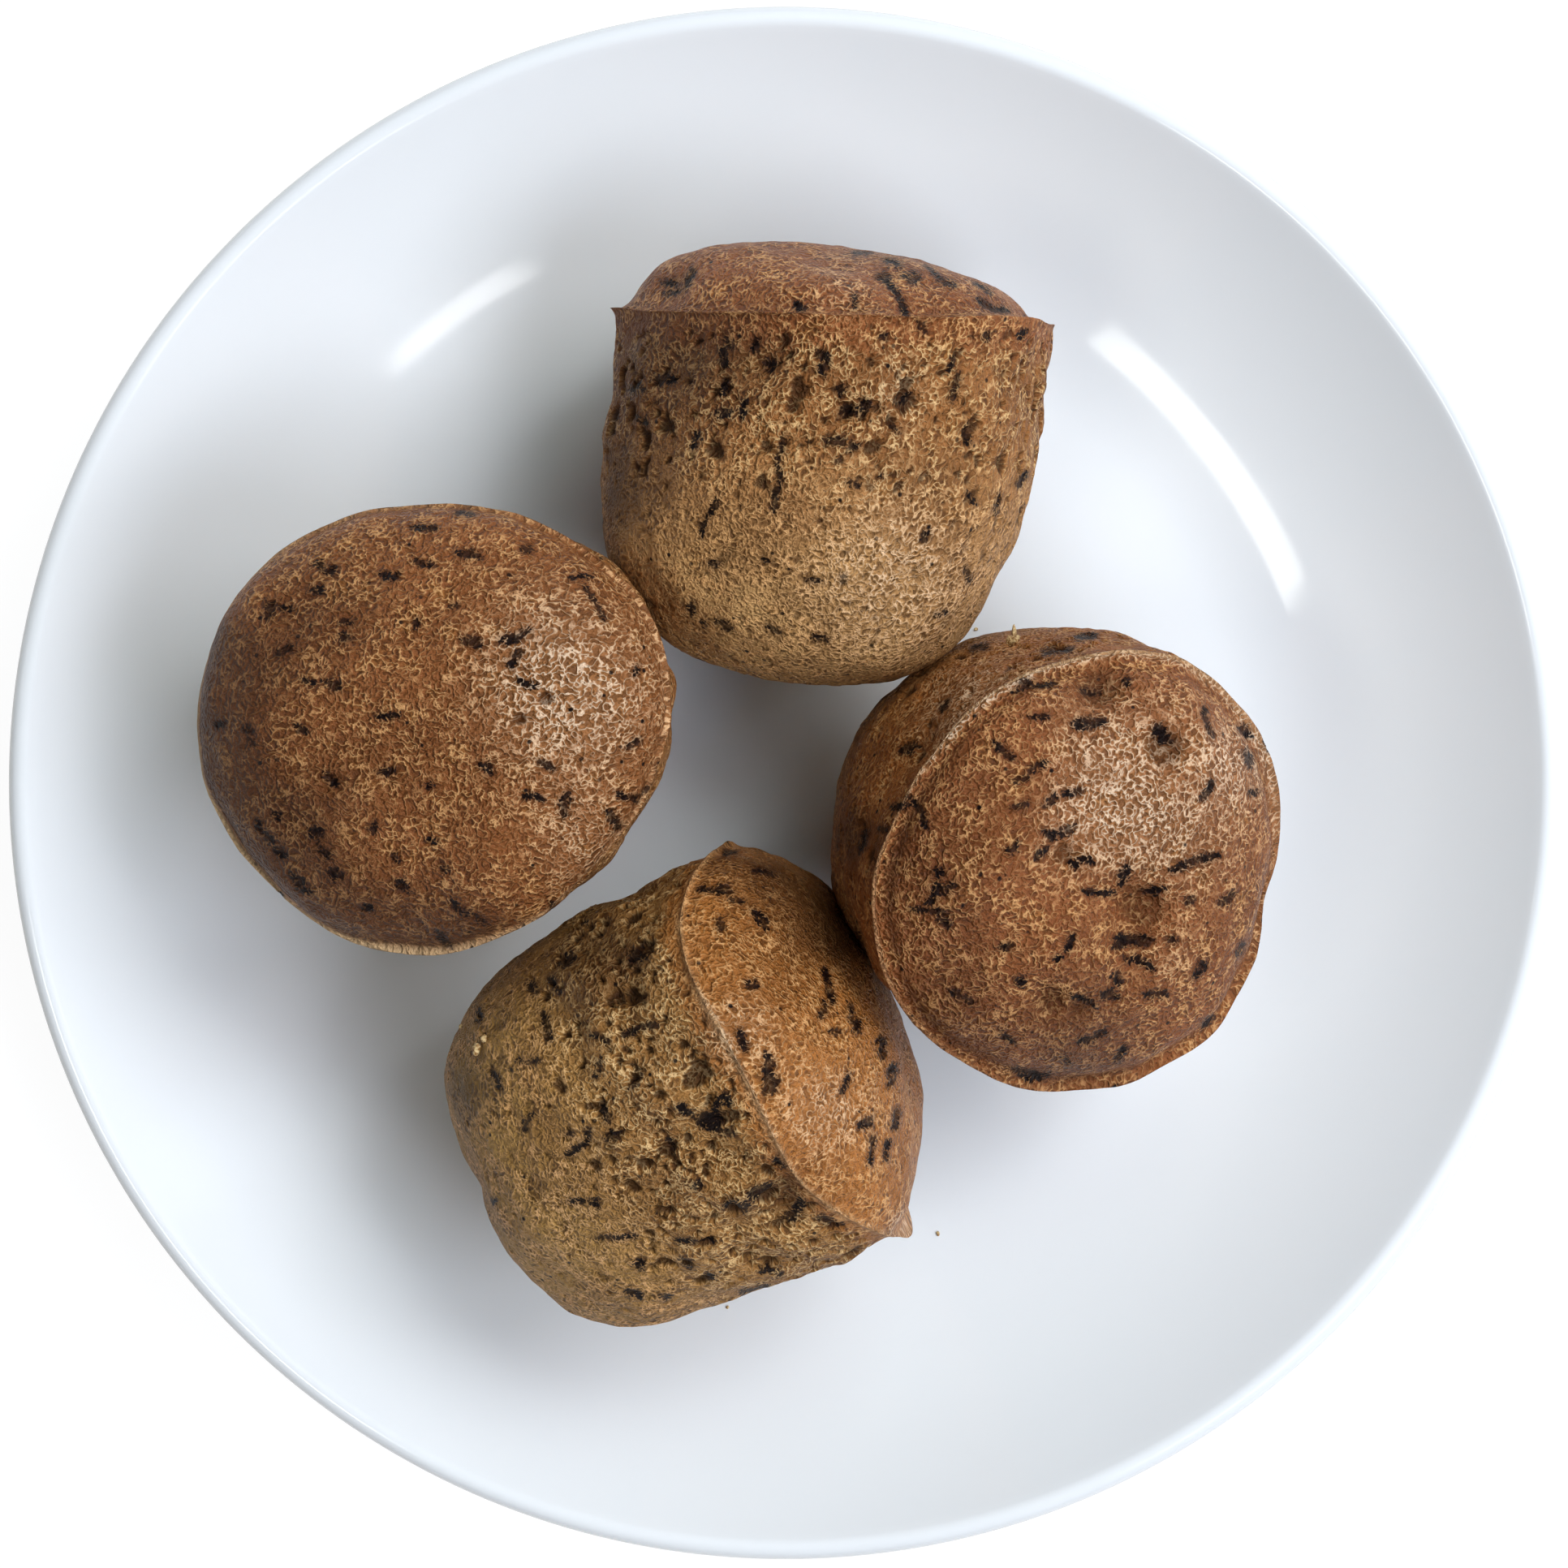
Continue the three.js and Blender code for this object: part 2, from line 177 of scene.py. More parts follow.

# ---- The dark banana fibres, noted in a close-up of each cake in the photo ----
# A close-up's corner is a pixel of the photo, and it is zoom times as large as the photo.
# A mark is (x, y, length, angle, width), a hollow is (x, y, radius, depth in mm) and a patch is (x, y,
# radius, strength), in pixels of the close-up. A patch paints a sheen where its strength is positive and
# shade where it is negative, shade is also painted in each hollow, and an angle goes counter-clockwise from
# the right.
CLOSE_UPS = {
    "cake_back": dict(corner=(730, 285), zoom=2.703, marks=[
        (440, 400, 90, 85, 26), (440, 605, 50, 0, 30), (505, 590, 60, 80, 14), (430, 520, 50, 80, 14),
        (585, 450, 50, -30, 30), (540, 380, 40, 90, 20), (240, 490, 60, 10, 30), (160, 520, 60, 0, 18),
        (160, 630, 36, -45, 16), (770, 420, 60, -60, 28), (770, 470, 50, -60, 24), (825, 530, 40, 70, 20),
        (845, 595, 30, 0, 30), (895, 590, 60, 30, 30), (815, 700, 80, -5, 26), (870, 715, 60, 30, 20),
        (822, 765, 26, 0, 16), (870, 840, 40, -20, 14), (632, 760, 160, 87, 9), (610, 890, 80, 85, 18),
        (400, 920, 60, 60, 12), (370, 990, 50, 75, 10), (400, 1110, 30, 0, 18), (435, 1310, 60, -20, 22),
        (330, 1255, 40, 80, 16), (600, 1330, 50, -20, 14), (365, 1310, 30, 90, 12),
        (1255, 680, 80, 80, 24), (1210, 520, 90, 78, 14), (1200, 440, 50, 70, 10), (1055, 565, 40, 60, 12),
        (975, 345, 40, 30, 16), (1310, 355, 36, 80, 16), (1425, 345, 40, 60, 16), (1100, 320, 36, -60, 14),
        (1435, 830, 50, 60, 14), (1350, 910, 60, 75, 10), (1265, 890, 40, -60, 12),
        (1015, 660, 34, -40, 10), (970, 815, 24, 0, 12), (1110, 1015, 40, 60, 14),
        (1250, 1145, 50, -75, 12), (835, 1160, 40, -60, 16), (740, 1165, 40, 0, 10),
        (1155, 1270, 40, 20, 8), (760, 1360, 50, -10, 12), (575, 1095, 16, 0, 14), (345, 700, 60, 75, 10),
        (320, 150, 70, 60, 24), (255, 195, 40, 0, 20), (245, 160, 40, 0, 14), (690, 245, 40, -25, 20),
        (875, 230, 40, 90, 12), (975, 155, 50, -30, 26), (1015, 220, 120, -58, 14),
        (1060, 150, 60, -35, 24), (1000, 105, 50, -25, 14), (1160, 150, 120, -35, 8),
        (1335, 245, 110, -18, 18), (900, 65, 50, 0, 12), (1300, 190, 60, -25, 10),
    ], hollows=[
        (575, 440, 34, 0.9), (845, 595, 26, 1.2), (270, 180, 50, 0.5), (895, 600, 30, 0.5),
    ], patches=[
        (130, 560, 260, -0.4), (270, 392, 200, -0.6), (540, 430, 170, -0.5), (1010, 1150, 330, 0.5),
        (820, 180, 130, 0.3), (1027, 527, 130, 0.4), (70, 850, 170, -0.8),
    ]),
    "cake_left": dict(corner=(240, 610), zoom=2.613, marks=[
        (890, 190, 130, -6, 26), (1060, 175, 55, 10, 18), (740, 218, 60, -12, 14), (740, 100, 80, -2, 12),
        (870, 58, 55, -8, 10), (415, 228, 90, -10, 26), (630, 258, 80, 8, 18), (390, 305, 60, 15, 18),
        (235, 365, 70, 60, 30), (290, 362, 40, 0, 14), (490, 410, 35, 0, 14), (490, 462, 45, -20, 20),
        (290, 500, 50, 25, 16), (440, 610, 50, -10, 28), (365, 600, 40, -15, 14), (885, 470, 70, -15, 34),
        (1010, 460, 80, 20, 26), (1060, 445, 40, 30, 14), (1030, 530, 60, 60, 20),
        (1070, 605, 60, -20, 14), (710, 415, 25, 40, 16), (835, 355, 20, 0, 10), (620, 710, 70, 5, 14),
        (345, 750, 40, -30, 14), (170, 750, 40, -30, 22), (185, 795, 24, -60, 12), (445, 925, 85, -32, 22),
        (620, 895, 40, 0, 26), (940, 875, 45, -40, 24), (755, 935, 16, 0, 12), (1090, 975, 60, -10, 16),
        (1200, 975, 70, 60, 26), (1190, 1020, 50, 80, 18), (1130, 870, 60, -30, 12),
        (1390, 970, 70, -10, 18), (1355, 1060, 110, -75, 24), (1450, 950, 30, 45, 10),
        (1415, 800, 50, 35, 14), (1425, 565, 30, 70, 10), (1245, 260, 70, 3, 6), (1290, 345, 130, -60, 7),
        (265, 1035, 26, -70, 12), (380, 1085, 55, -10, 24), (415, 1150, 60, -45, 18),
        (450, 1225, 60, -45, 24), (575, 1070, 35, 80, 16), (765, 1115, 26, 0, 12),
        (800, 1205, 25, -30, 12), (670, 1255, 50, -15, 24), (555, 1330, 40, 0, 20),
        (850, 1330, 60, -45, 10), (890, 1360, 110, -30, 8), (800, 1430, 60, -50, 14),
        (1150, 1325, 25, 60, 12), (645, 1170, 30, -60, 10), (70, 740, 40, 0, 16),
        (235, 1110, 150, -55, 20), (340, 1250, 100, -45, 20),
    ], hollows=[
        (1128, 655, 22, 1.3), (1045, 722, 20, 1.2), (1075, 1020, 10, 0.5), (1290, 455, 24, 0.4),
        (445, 925, 30, 0.5), (690, 800, 60, 0.4),
    ], patches=[
        (1210, 600, 290, 1.0), (20, 560, 150, -0.9), (30, 880, 180, -1.2), (180, 575, 220, -0.7),
        (240, 1200, 200, -1.0), (287, 1071, 210, -0.5), (560, 1420, 200, -1.1), (880, 1430, 170, -0.8),
        (560, 900, 200, -0.4), (418, 340, 210, -0.4), (1306, 470, 180, -0.2), (1254, 1124, 200, 0.4),
    ]),
    "cake_right": dict(corner=(1010, 755), zoom=2.592, marks=[
        (860, 350, 100, 15, 34), (590, 440, 80, -40, 16), (695, 495, 60, 30, 16), (645, 530, 50, 20, 12),
        (1100, 390, 80, -60, 34), (1245, 350, 100, -75, 12), (1235, 565, 60, 60, 16),
        (1370, 470, 60, -75, 24), (1355, 380, 40, -50, 14), (1395, 575, 30, 0, 14), (640, 615, 45, 15, 16),
        (740, 595, 50, 15, 22), (810, 572, 60, 10, 14), (785, 700, 120, 20, 24), (615, 755, 70, 30, 18),
        (710, 770, 50, 40, 20), (840, 800, 80, 20, 18), (975, 840, 50, 60, 34), (900, 895, 100, -5, 14),
        (1085, 885, 90, 25, 18), (1200, 800, 150, 20, 16), (1185, 920, 40, 50, 18),
        (1305, 910, 60, 60, 22), (395, 880, 90, 10, 26), (360, 915, 50, 50, 16), (380, 830, 24, 0, 20),
        (345, 955, 120, -5, 12), (400, 985, 50, -30, 22), (600, 1070, 40, 20, 26), (800, 1055, 50, 70, 16),
        (765, 1100, 30, 20, 12), (1010, 1050, 140, 5, 40), (1130, 1045, 30, 0, 20),
        (1020, 1115, 100, -15, 18), (955, 1170, 40, -60, 30), (930, 1225, 90, 10, 26),
        (1075, 1220, 60, 5, 16), (845, 1245, 80, -25, 16), (640, 1180, 34, -60, 24),
        (455, 1230, 80, -25, 14), (1215, 1140, 50, 50, 20), (1355, 1080, 40, 60, 14),
        (1240, 1305, 40, 40, 12), (870, 1355, 90, 20, 16), (600, 1360, 50, -30, 12),
        (675, 1475, 130, -5, 20), (965, 1415, 50, 50, 16), (790, 1430, 30, -40, 14),
        (310, 640, 110, -60, 16), (250, 620, 50, 10, 20), (140, 730, 60, 80, 10), (195, 690, 24, 0, 16),
        (280, 430, 60, 30, 20), (390, 300, 50, 40, 20), (650, 230, 80, 30, 20), (710, 225, 80, 5, 12),
        (850, 75, 60, 5, 16), (760, 120, 90, 5, 14), (510, 115, 50, 15, 10), (870, 240, 60, 0, 14),
        (985, 220, 30, -60, 14), (700, 330, 60, 0, 10),
    ], hollows=[
        (1040, 940, 66, 1.3), (790, 770, 38, 1.0), (1110, 430, 56, 1.4), (900, 230, 66, 1.1),
        (740, 1240, 46, 0.9), (830, 1262, 40, 0.8), (1010, 1050, 50, 0.6),
    ], patches=[
        (1000, 600, 330, 0.9), (960, 960, 170, -0.3), (560, 190, 110, 0.4), (389, 376, 110, 0.5),
        (450, 255, 110, 0.5), (90, 713, 110, -0.9), (570, 480, 150, -0.5), (1160, 530, 130, -0.2),
        (415, 1231, 170, -0.5), (340, 850, 260, -0.5), (850, 1420, 330, -0.6), (1080, 1130, 150, 0.4),
        (1330, 480, 130, 0.5),
    ]),
    "cake_front": dict(corner=(530, 1025), zoom=2.549, marks=[
        (800, 870, 50, -30, 24), (845, 900, 110, -25, 38), (900, 850, 80, 50, 24), (930, 850, 40, 30, 16),
        (910, 940, 80, -15, 16), (1070, 770, 140, -85, 36), (980, 655, 60, -75, 16),
        (895, 180, 110, -5, 12), (920, 178, 40, -5, 22), (965, 210, 50, -10, 8), (1040, 270, 70, -50, 22),
        (908, 292, 44, -80, 28), (940, 60, 36, 0, 16), (1050, 125, 60, -10, 8), (1010, 480, 30, 0, 20),
        (1255, 480, 110, -80, 16), (1335, 590, 110, -80, 20), (1240, 560, 50, 70, 18),
        (1275, 627, 26, 0, 18), (1415, 675, 60, -80, 20), (1370, 915, 40, 10, 24),
        (1390, 1000, 90, 80, 14), (1445, 1000, 60, 80, 12), (1310, 790, 60, 70, 8),
        (1250, 1230, 90, -25, 22), (1035, 1140, 60, 0, 44), (965, 1175, 80, -5, 24),
        (1150, 1190, 80, 50, 24), (1130, 1215, 40, 0, 20), (1090, 1050, 40, -60, 18),
        (835, 1110, 30, 0, 24), (515, 1170, 30, -50, 18), (480, 1165, 90, 0, 8), (570, 955, 40, 0, 28),
        (550, 885, 70, -70, 20), (455, 1000, 70, 30, 14), (490, 960, 50, 75, 12), (305, 905, 50, 50, 9),
        (293, 920, 36, 85, 8), (362, 610, 90, -75, 16), (430, 400, 50, 40, 28), (390, 480, 60, -60, 18),
        (320, 490, 40, -60, 18), (655, 622, 110, 20, 16), (535, 650, 60, -30, 12), (645, 385, 60, 0, 32),
        (480, 285, 30, 0, 12), (155, 580, 40, 80, 8), (205, 775, 60, -60, 10), (310, 718, 70, 0, 8),
        (525, 740, 60, 80, 10), (645, 780, 60, 50, 12), (690, 610, 30, 0, 18), (755, 985, 40, -70, 14),
        (435, 945, 16, 0, 12), (800, 1355, 50, -40, 20), (655, 1365, 30, 0, 18), (640, 1448, 50, -20, 16),
        (735, 1460, 30, 0, 12), (880, 1405, 30, 0, 14), (1055, 1385, 30, 0, 12), (1100, 1390, 26, 0, 12),
        (1020, 1440, 80, 15, 14), (585, 1280, 120, 0, 6), (830, 1290, 120, 0, 6), (200, 1160, 20, 0, 14),
        (1450, 760, 90, 85, 20), (1470, 900, 60, 85, 14),
    ], hollows=[
        (1110, 1150, 60, 0.9), (870, 900, 50, 0.6), (620, 400, 60, 0.6),
    ], patches=[
        (560, 430, 230, -0.7), (450, 1250, 330, 0.2), (1250, 880, 170, 0.5), (960, 620, 150, 0.4),
        (1090, 110, 150, -0.9), (860, 90, 130, -0.4), (1250, 300, 150, -1.1), (1020, 1185, 90, -0.4),
        (120, 828, 130, -0.8), (1500, 1250, 60, 1.0), (650, 720, 200, 0.3),
    ]),
}
MARK_CLIP = (-1.0, 3.0)  # the distance to a fibre is kept between these
HOLE_RADIUS = 23  # a smaller hollow is a round hole with a clear edge
THIN_MARK = 0.75  # a thinner mark that is also long is a single strand
SEEN_FACING = 0.02  # how much a point that is seen faces the camera
SPOT_SEARCH = 8  # pixels of the close-up
MARK_MARGIN = 4  # how far round a mark it counts
UNSEEN_MARKS = 70  # on the sides of each cake that the photo doesn't show

# Loose crumbs: what each lies on, its place in pixels of the photo, its half width and half length in mm.
LOOSE_CRUMBS = [
    ("cake_front", 594, 1279, 0.55, 0.6), ("cake_front", 586, 1294, 0.7, 0.9),
    ("cake_front", 566, 1263, 0.4, 0.4), ("plate", 1160, 1513, 0.3, 0.35), ("plate", 896, 1610, 0.25, 0.3),
    ("plate", 1197, 778, 0.3, 0.25), ("cake_right", 1250, 786, 1.0, 0.9), ("cake_right", 1249, 780, 0.4, 1.5),
]
CRUMB_SEARCH = 3  # pixels of the photo
CRUMB_ROUGHENING = [(0.9, 0.35), (0.4, 0.15)]  # of a ball of radius 1

PLATE_COLOUR = "#e4e4e4"
FOOT_COLOURS = ("#cfccc6", "#dedbd4")
LOOSE_CRUMB_COLOURS = ("#8a5c2c", "#dcc08c")
# The bright ridges' colours: the dry one is partly the crumb's own lighter grain and partly painted
# highlight, the wet one is painted glints where the sheen is painted.
DRY_RIDGE = "#e0a96e"
WET_RIDGE = "#fbdfc0"
# The crumb's colours. cloud, golden, lip, halo and fibre are its own. The dim colour is painted shade and the
# sheen colour a painted sheen. The gap, hollow, pit and tear colours are painted shade in the gaps between
# the grain's ridges, in hollows, in pits and in the open crumb's crevices. The speck colour is partly the
# crumb's own dark specks and partly painted shade in the fine relief's low spots. The torn ridge colour is
# partly the torn crumb's own cream ridges and partly painted highlight on them.
CRUMB_COLOURS = {
    "cloud": "#5e3111", "golden": "#a66f33", "dim": "#2d190d", "sheen": "#c08a56", "torn_ridge": "#e8cb92",
    "gap": "#3a1c0b", "speck": "#231006", "lip": "#d0ad80", "hollow": "#3f200b", "pit": "#2a1407",
    "tear": "#2a1609", "halo": "#3b1f10", "fibre": "#0e0607",
}
CRUMB_ROUGHNESS = (0.62, 0.46)  # of the side and of the dome

FLOOR_TONE = 0.15
FLOOR_GLOW = 0.9
FLOOR_GAP = 0.05  # below the foot
STAGE_RADIUS = 12  # metres
STAGE_SEGMENTS = 64

surfaces = {}  # the points of the plate and of each cake, in mm


def linear(code):
    """The colour of a hex code, as Blender wants it."""
    shares = [int(code[k:k + 2], 16) / 255 for k in (1, 3, 5)]
    return (*[s / 12.92 if s <= 0.04045 else ((s + 0.055) / 1.055) ** 2.4 for s in shares], 1.0)


# ---- Smooth steps and random fields ----

def smooth_step(low, high, values):
    """The smooth way from 0, where values are low, to 1, where they are high."""
    share = np.clip((values - low) / (high - low), 0, 1)
    return share * share * (3 - 2 * share)


def bell(values, middle, width):
    """A hump that is 1 at the middle and fades out over the width."""
    return np.exp(-(((values - middle) / width) ** 2))


def hashed(cells, seed):
    """A number from 0 to 1 for each whole-numbered cell, the same in every run."""
    x, y, z = (cells[..., k].astype(np.int64) for k in range(3))
    mixed = (x * 73856093) ^ (y * 19349663) ^ (z * 83492791) ^ (seed * 40503)
    mixed = ((mixed ^ (mixed >> 13)) * 1274126177) & 0xFFFFFFFF
    mixed = ((mixed ^ (mixed >> 15)) * 2246822519) & 0xFFFFFFFF
    return ((mixed ^ (mixed >> 13)) & 0xFFFFFF) / 0xFFFFFF


def cloud(points, length, seed):
    """Smooth noise from -1 to 1 whose lumps are about length across."""
    scaled = points / length
    corner = np.floor(scaled)
    share = smooth_step(0, 1, scaled - corner)
    total = np.zeros(len(points))
    for offset in np.ndindex(2, 2, 2):
        weight = np.prod(np.where(offset, share, 1 - share), axis=1)
        total += weight * hashed(corner + offset, seed)
    return 2 * total - 1


def drift(points, length, seed):
    """Smooth noise like cloud's, as a way for each point to go."""
    return np.stack([cloud(points, length, seed + k) for k in range(3)], axis=1)


def cells(points, length, seed):
    """The distance to the nearest of points strewn about length apart, as a share of length, and a
    random number from 0 to 1 that belongs to that point."""
    scaled = points / length
    corner = np.floor(scaled)
    nearest = np.full(len(points), 9.0)
    draw = np.zeros(len(points))
    for offset in np.ndindex(3, 3, 3):
        cell = corner + np.array(offset) - 1
        strewn = cell + np.stack([hashed(cell, seed + k) for k in range(3)], axis=1)
        distance = norm(scaled - strewn, axis=1)
        closer = distance < nearest
        nearest[closer] = distance[closer]
        draw[closer] = hashed(cell, seed + 3)[closer]
    return nearest, draw


def waves(points, length, seed):
    """The slow random field of the solids: a few sine waves in evenly spread directions."""
    total = np.zeros(len(points))
    for k in range(WAVE_COUNT):
        up = 1 - (2 * k + 1) / WAVE_COUNT
        level = math.sqrt(1 - up * up)
        around = k * GOLDEN_ANGLE
        way = np.array([level * math.cos(around), level * math.sin(around), up])
        total += np.sin(2 * math.pi * (points @ way) / length + seed * (k + 1))
    return total / math.sqrt(WAVE_COUNT)


# ---- Points and meshes ----

def direction(azimuth, elevation):
    a, e = math.radians(azimuth), math.radians(elevation)
    return np.array([math.cos(a) * math.cos(e), math.sin(a) * math.cos(e), math.sin(e)])


def add_object(name, data):
    """A new object in the scene."""
    made = bpy.data.objects.new(name, data)
    bpy.context.scene.collection.objects.link(made)
    return made


def revolved(out, up, segments):
    """The points of a profile turned all round the upright axis, ring by ring."""
    turn = np.linspace(0, 2 * math.pi, segments, endpoint=False)
    across, back = np.outer(out, np.cos(turn)), np.outer(out, np.sin(turn))
    return np.stack([across, back, np.repeat(up[:, None], segments, axis=1)], axis=2).reshape(-1, 3)


def ring_mesh(name, points, rings, segments):
    """A closed mesh of rings, with the middle of its first and last ring as the last two points."""
    ring = np.arange(rings * segments).reshape(rings, segments)
    beside = np.roll(ring, -1, axis=1)
    quads = np.stack([ring[:-1], beside[:-1], beside[1:], ring[1:]], axis=2).reshape(-1, 4)
    first, last = rings * segments, rings * segments + 1
    caps = [(first, b, a) for a, b in zip(ring[0], beside[0])]
    caps += [(last, a, b) for a, b in zip(ring[-1], beside[-1])]
    mesh = bpy.data.meshes.new(name)
    mesh.from_pydata(points * MM, [], quads.tolist() + caps)
    mesh.shade_smooth()
    return add_object(name, mesh)


def grid_normals(grid):
    """The outward normal at each point of a closed ring grid, rings first."""
    around = np.roll(grid, -1, axis=1) - np.roll(grid, 1, axis=1)
    upward = np.gradient(grid, axis=0)
    normals = np.cross(around, upward)
    return normals / norm(normals, axis=2)[..., None]


def press_flat(points, flat, outward, gap):
    """Moves back what would stand through a flat."""
    beyond = np.maximum(0, (points - flat) @ outward + gap)
    points -= np.outer(beyond, outward)


# ---- The form of a cake ----

def towards(points, azimuth):
    return points[:, :2] @ direction(azimuth, 0)[:2]


def crests(azimuth, at, count=1):
    """Waves all round the axis, which are 1 at their crests. One crest is at the azimuth at."""
    return np.cos(np.radians(count * (azimuth - at)))


def softened(line, steps, sign):
    """A line of numbers smoothed over some steps, mirrored at its ends with that sign."""
    reach = int(4 * steps)
    kernel = np.exp(-0.5 * (np.arange(-reach, reach + 1) / steps) ** 2)
    head = sign * line[reach:0:-1]
    tail = sign * line[-2:-reach - 2:-1]
    return np.convolve(np.concatenate([head, line, tail]), kernel / kernel.sum(), "valid")


def cake_profile(cake):
    """The side view of a plain cake from its base over the rim to its top: radius, height, and the
    distance from the rim's edge, which is negative on the body."""
    turn = np.linspace(0, math.pi / 2, 400)
    side_out = (cake.rim - LIP_REACH) * np.sin(turn) ** (2 / cake.fullness)
    length = cake.body - LIP_DROP
    side_down = -LIP_DROP - length * np.abs(np.cos(turn)) ** (2 / cake.fullness)
    dome_out = (cake.rim - cake.flange[0]) * np.abs(np.cos(turn)) ** (2 / cake.dome_fullness)
    dome_up = cake.dome * np.sin(turn) ** (2 / cake.dome_fullness)
    out = np.concatenate([side_out, [cake.rim], dome_out])
    up = np.concatenate([side_down, [0.0], dome_up])
    along = np.concatenate([[0], np.cumsum(np.hypot(np.diff(out), np.diff(up)))])
    rim_at = along[len(turn)]
    fine = np.arange(0, along[-1], PROFILE_STEP)
    line_out, line_up = np.interp(fine, along, out), np.interp(fine, along, up)

    def rounded(softness):
        steps = softness / PROFILE_STEP
        return softened(line_out, steps, -1), softened(line_up, steps, 1)

    at_lip = bell(fine, rim_at, LIP_WIDTH)
    pairs = zip(rounded(LIP_SOFTNESS), rounded(EDGE_SOFTNESS))
    out, up = (crisp * at_lip + soft * (1 - at_lip) for crisp, soft in pairs)
    density = 1 + RIM_DENSITY * bell(fine, rim_at, 3)
    count = np.cumsum(density) * PROFILE_STEP / RING_SPACING
    rings = np.interp(np.linspace(0, count[-1], round(count[-1])), count, fine)
    return np.interp(rings, fine, out), np.interp(rings, fine, up), rings - rim_at


def dent_point(cake, azimuth, where):
    """Where a dent lies on the plain cake: on the dome by its radius, on the side by its depth."""
    if where > 0:
        share = min(where / (cake.rim - cake.flange[0]), 1)
        rise = cake.dome * (1 - share ** cake.dome_fullness) ** (1 / cake.dome_fullness)
        return direction(azimuth, 0) * where + np.array([0, 0, rise])
    share = min(-where / cake.body, 1)
    radius = cake.rim * (1 - share ** cake.fullness) ** (1 / cake.fullness)
    return direction(azimuth, 0) * radius + np.array([0, 0, where])


def uneven(cake, plain, top):
    """Bends the points of the plain round cake into the uneven real one. top is 0 on the body and 1 on
    the dome, and goes from one to the other across the flat of the rim."""
    points = plain.copy()
    azimuth = np.degrees(np.arctan2(plain[:, 1], plain[:, 0]))
    radius = np.hypot(plain[:, 0], plain[:, 1])
    dome_radius = cake.rim - cake.flange[0]
    below = np.maximum(0, -plain[:, 2])

    wider, wider_at = cake.flange[1:]
    on_dome = 1 - wider * crests(azimuth, wider_at) / dome_radius
    near_rim = np.maximum(0, 1 - below / EAR_DEPTH) ** 2
    on_body = np.ones(len(plain))
    for reach, at, width in cake.ears:
        apart = np.abs((azimuth - at + 180) % 360 - 180)
        on_body += reach * bell(apart, 0, width) * near_rim / cake.rim
    stretch = on_body * (1 - top) + on_dome * top
    egg, egg_at = cake.egg
    stretch *= 1 + egg * crests(azimuth, egg_at, 3)
    points[:, :2] *= stretch[:, None]
    wave_share = np.where(top > 0, np.minimum(radius / dome_radius, 1) ** 2, np.exp(-below / RIM_WAVE_DEPTH))
    for height, count, crest in cake.rim_waves:
        points[:, 2] += height * crests(azimuth, crest, count) * wave_share

    outward = plain + np.outer(cake.body / 3 * (1 - top) + cake.rim * top, [0, 0, 1])
    outward /= norm(outward, axis=1)[:, None]
    crag_height, crag_middle, crag_width = cake.crags
    crag_band = bell(plain[:, 2], crag_middle, crag_width)
    relief = LUMP_HEIGHT * waves(plain, LUMP_LENGTH, cake.seed)
    relief += crag_height * crag_band * waves(plain, CRAG_LENGTH, cake.seed + 1)
    for at, where, width, depth in cake.dents:
        distance = norm(plain - dent_point(cake, at, where), axis=1)
        relief -= depth * bell(distance, 0, width)
    points += outward * relief[:, None]

    depth_share = below / cake.body
    slant, slant_at = cake.base_slant
    points[:, 2] += math.tan(math.radians(slant)) * towards(points, slant_at) * depth_share ** 1.5
    lean, lean_at = cake.lean
    points += np.outer(lean * depth_share, direction(lean_at, 0))
    skew, skew_at = cake.dome_skew
    points[:, 2] *= 1 + top * skew * towards(points, skew_at) / cake.rim
    oval, oval_at = cake.oval
    long = towards(points, oval_at) * (1 + oval)
    short = towards(points, oval_at + 90) * (1 - oval)
    long_way, short_way = direction(oval_at, 0)[:2], direction(oval_at + 90, 0)[:2]
    points[:, :2] = np.outer(long, long_way) + np.outer(short, short_way)
    return points


def turned(cake, points):
    """Leans the points over by the cake's tilt, towards its heading."""
    t, h = math.radians(cake.tilt), math.radians(cake.heading)
    lean = np.array([[math.cos(t), 0, math.sin(t)], [0, 1, 0], [-math.sin(t), 0, math.cos(t)]])
    swing = np.array([[math.cos(h), -math.sin(h), 0], [math.sin(h), math.cos(h), 0], [0, 0, 1]])
    return points @ (swing @ lean).T


def pressed(name, posed):
    """The points of a cake and the middles of its two ends, pressed flat where the cake touches the plate
    and the other cakes."""
    first, last = posed[:CAKE_SEGMENTS].mean(axis=0), posed[-CAKE_SEGMENTS:].mean(axis=0)
    points = np.concatenate([posed, [first, last]])
    press_flat(points, np.array([0, 0, WELL_HEIGHT]), np.array([0, 0, -1]), TOUCHING)
    for names, at, facing_way in CONTACTS:
        if name in names:
            outward = direction(*facing_way) * (1 if name == names[0] else -1)
            press_flat(points, np.array(at), outward, TOUCHING)
    return points


# ---- What the photo shows on a cake ----

def photo_pixels(points):
    """Where points are seen in the photo, and how many of its pixels a millimetre takes there."""
    scale = PHOTO_FOCUS / (CAMERA_PLACE[2] - points[:, 2])
    across = PHOTO_SIZE / 2 + (points[:, 0] - CAMERA_PLACE[0]) * scale
    down = PHOTO_SIZE / 2 - (points[:, 1] - CAMERA_PLACE[1]) * scale
    return np.stack([across, down], axis=1), scale


def segment_distance(points, start, end):
    """The distance of points to a segment, and how far along it each lies, from 0 to 1."""
    way = end - start
    share = np.clip(((points - start) @ way) / max(way @ way, 1e-9), 0, 1)
    return norm(points - start - np.outer(share, way), axis=1), share


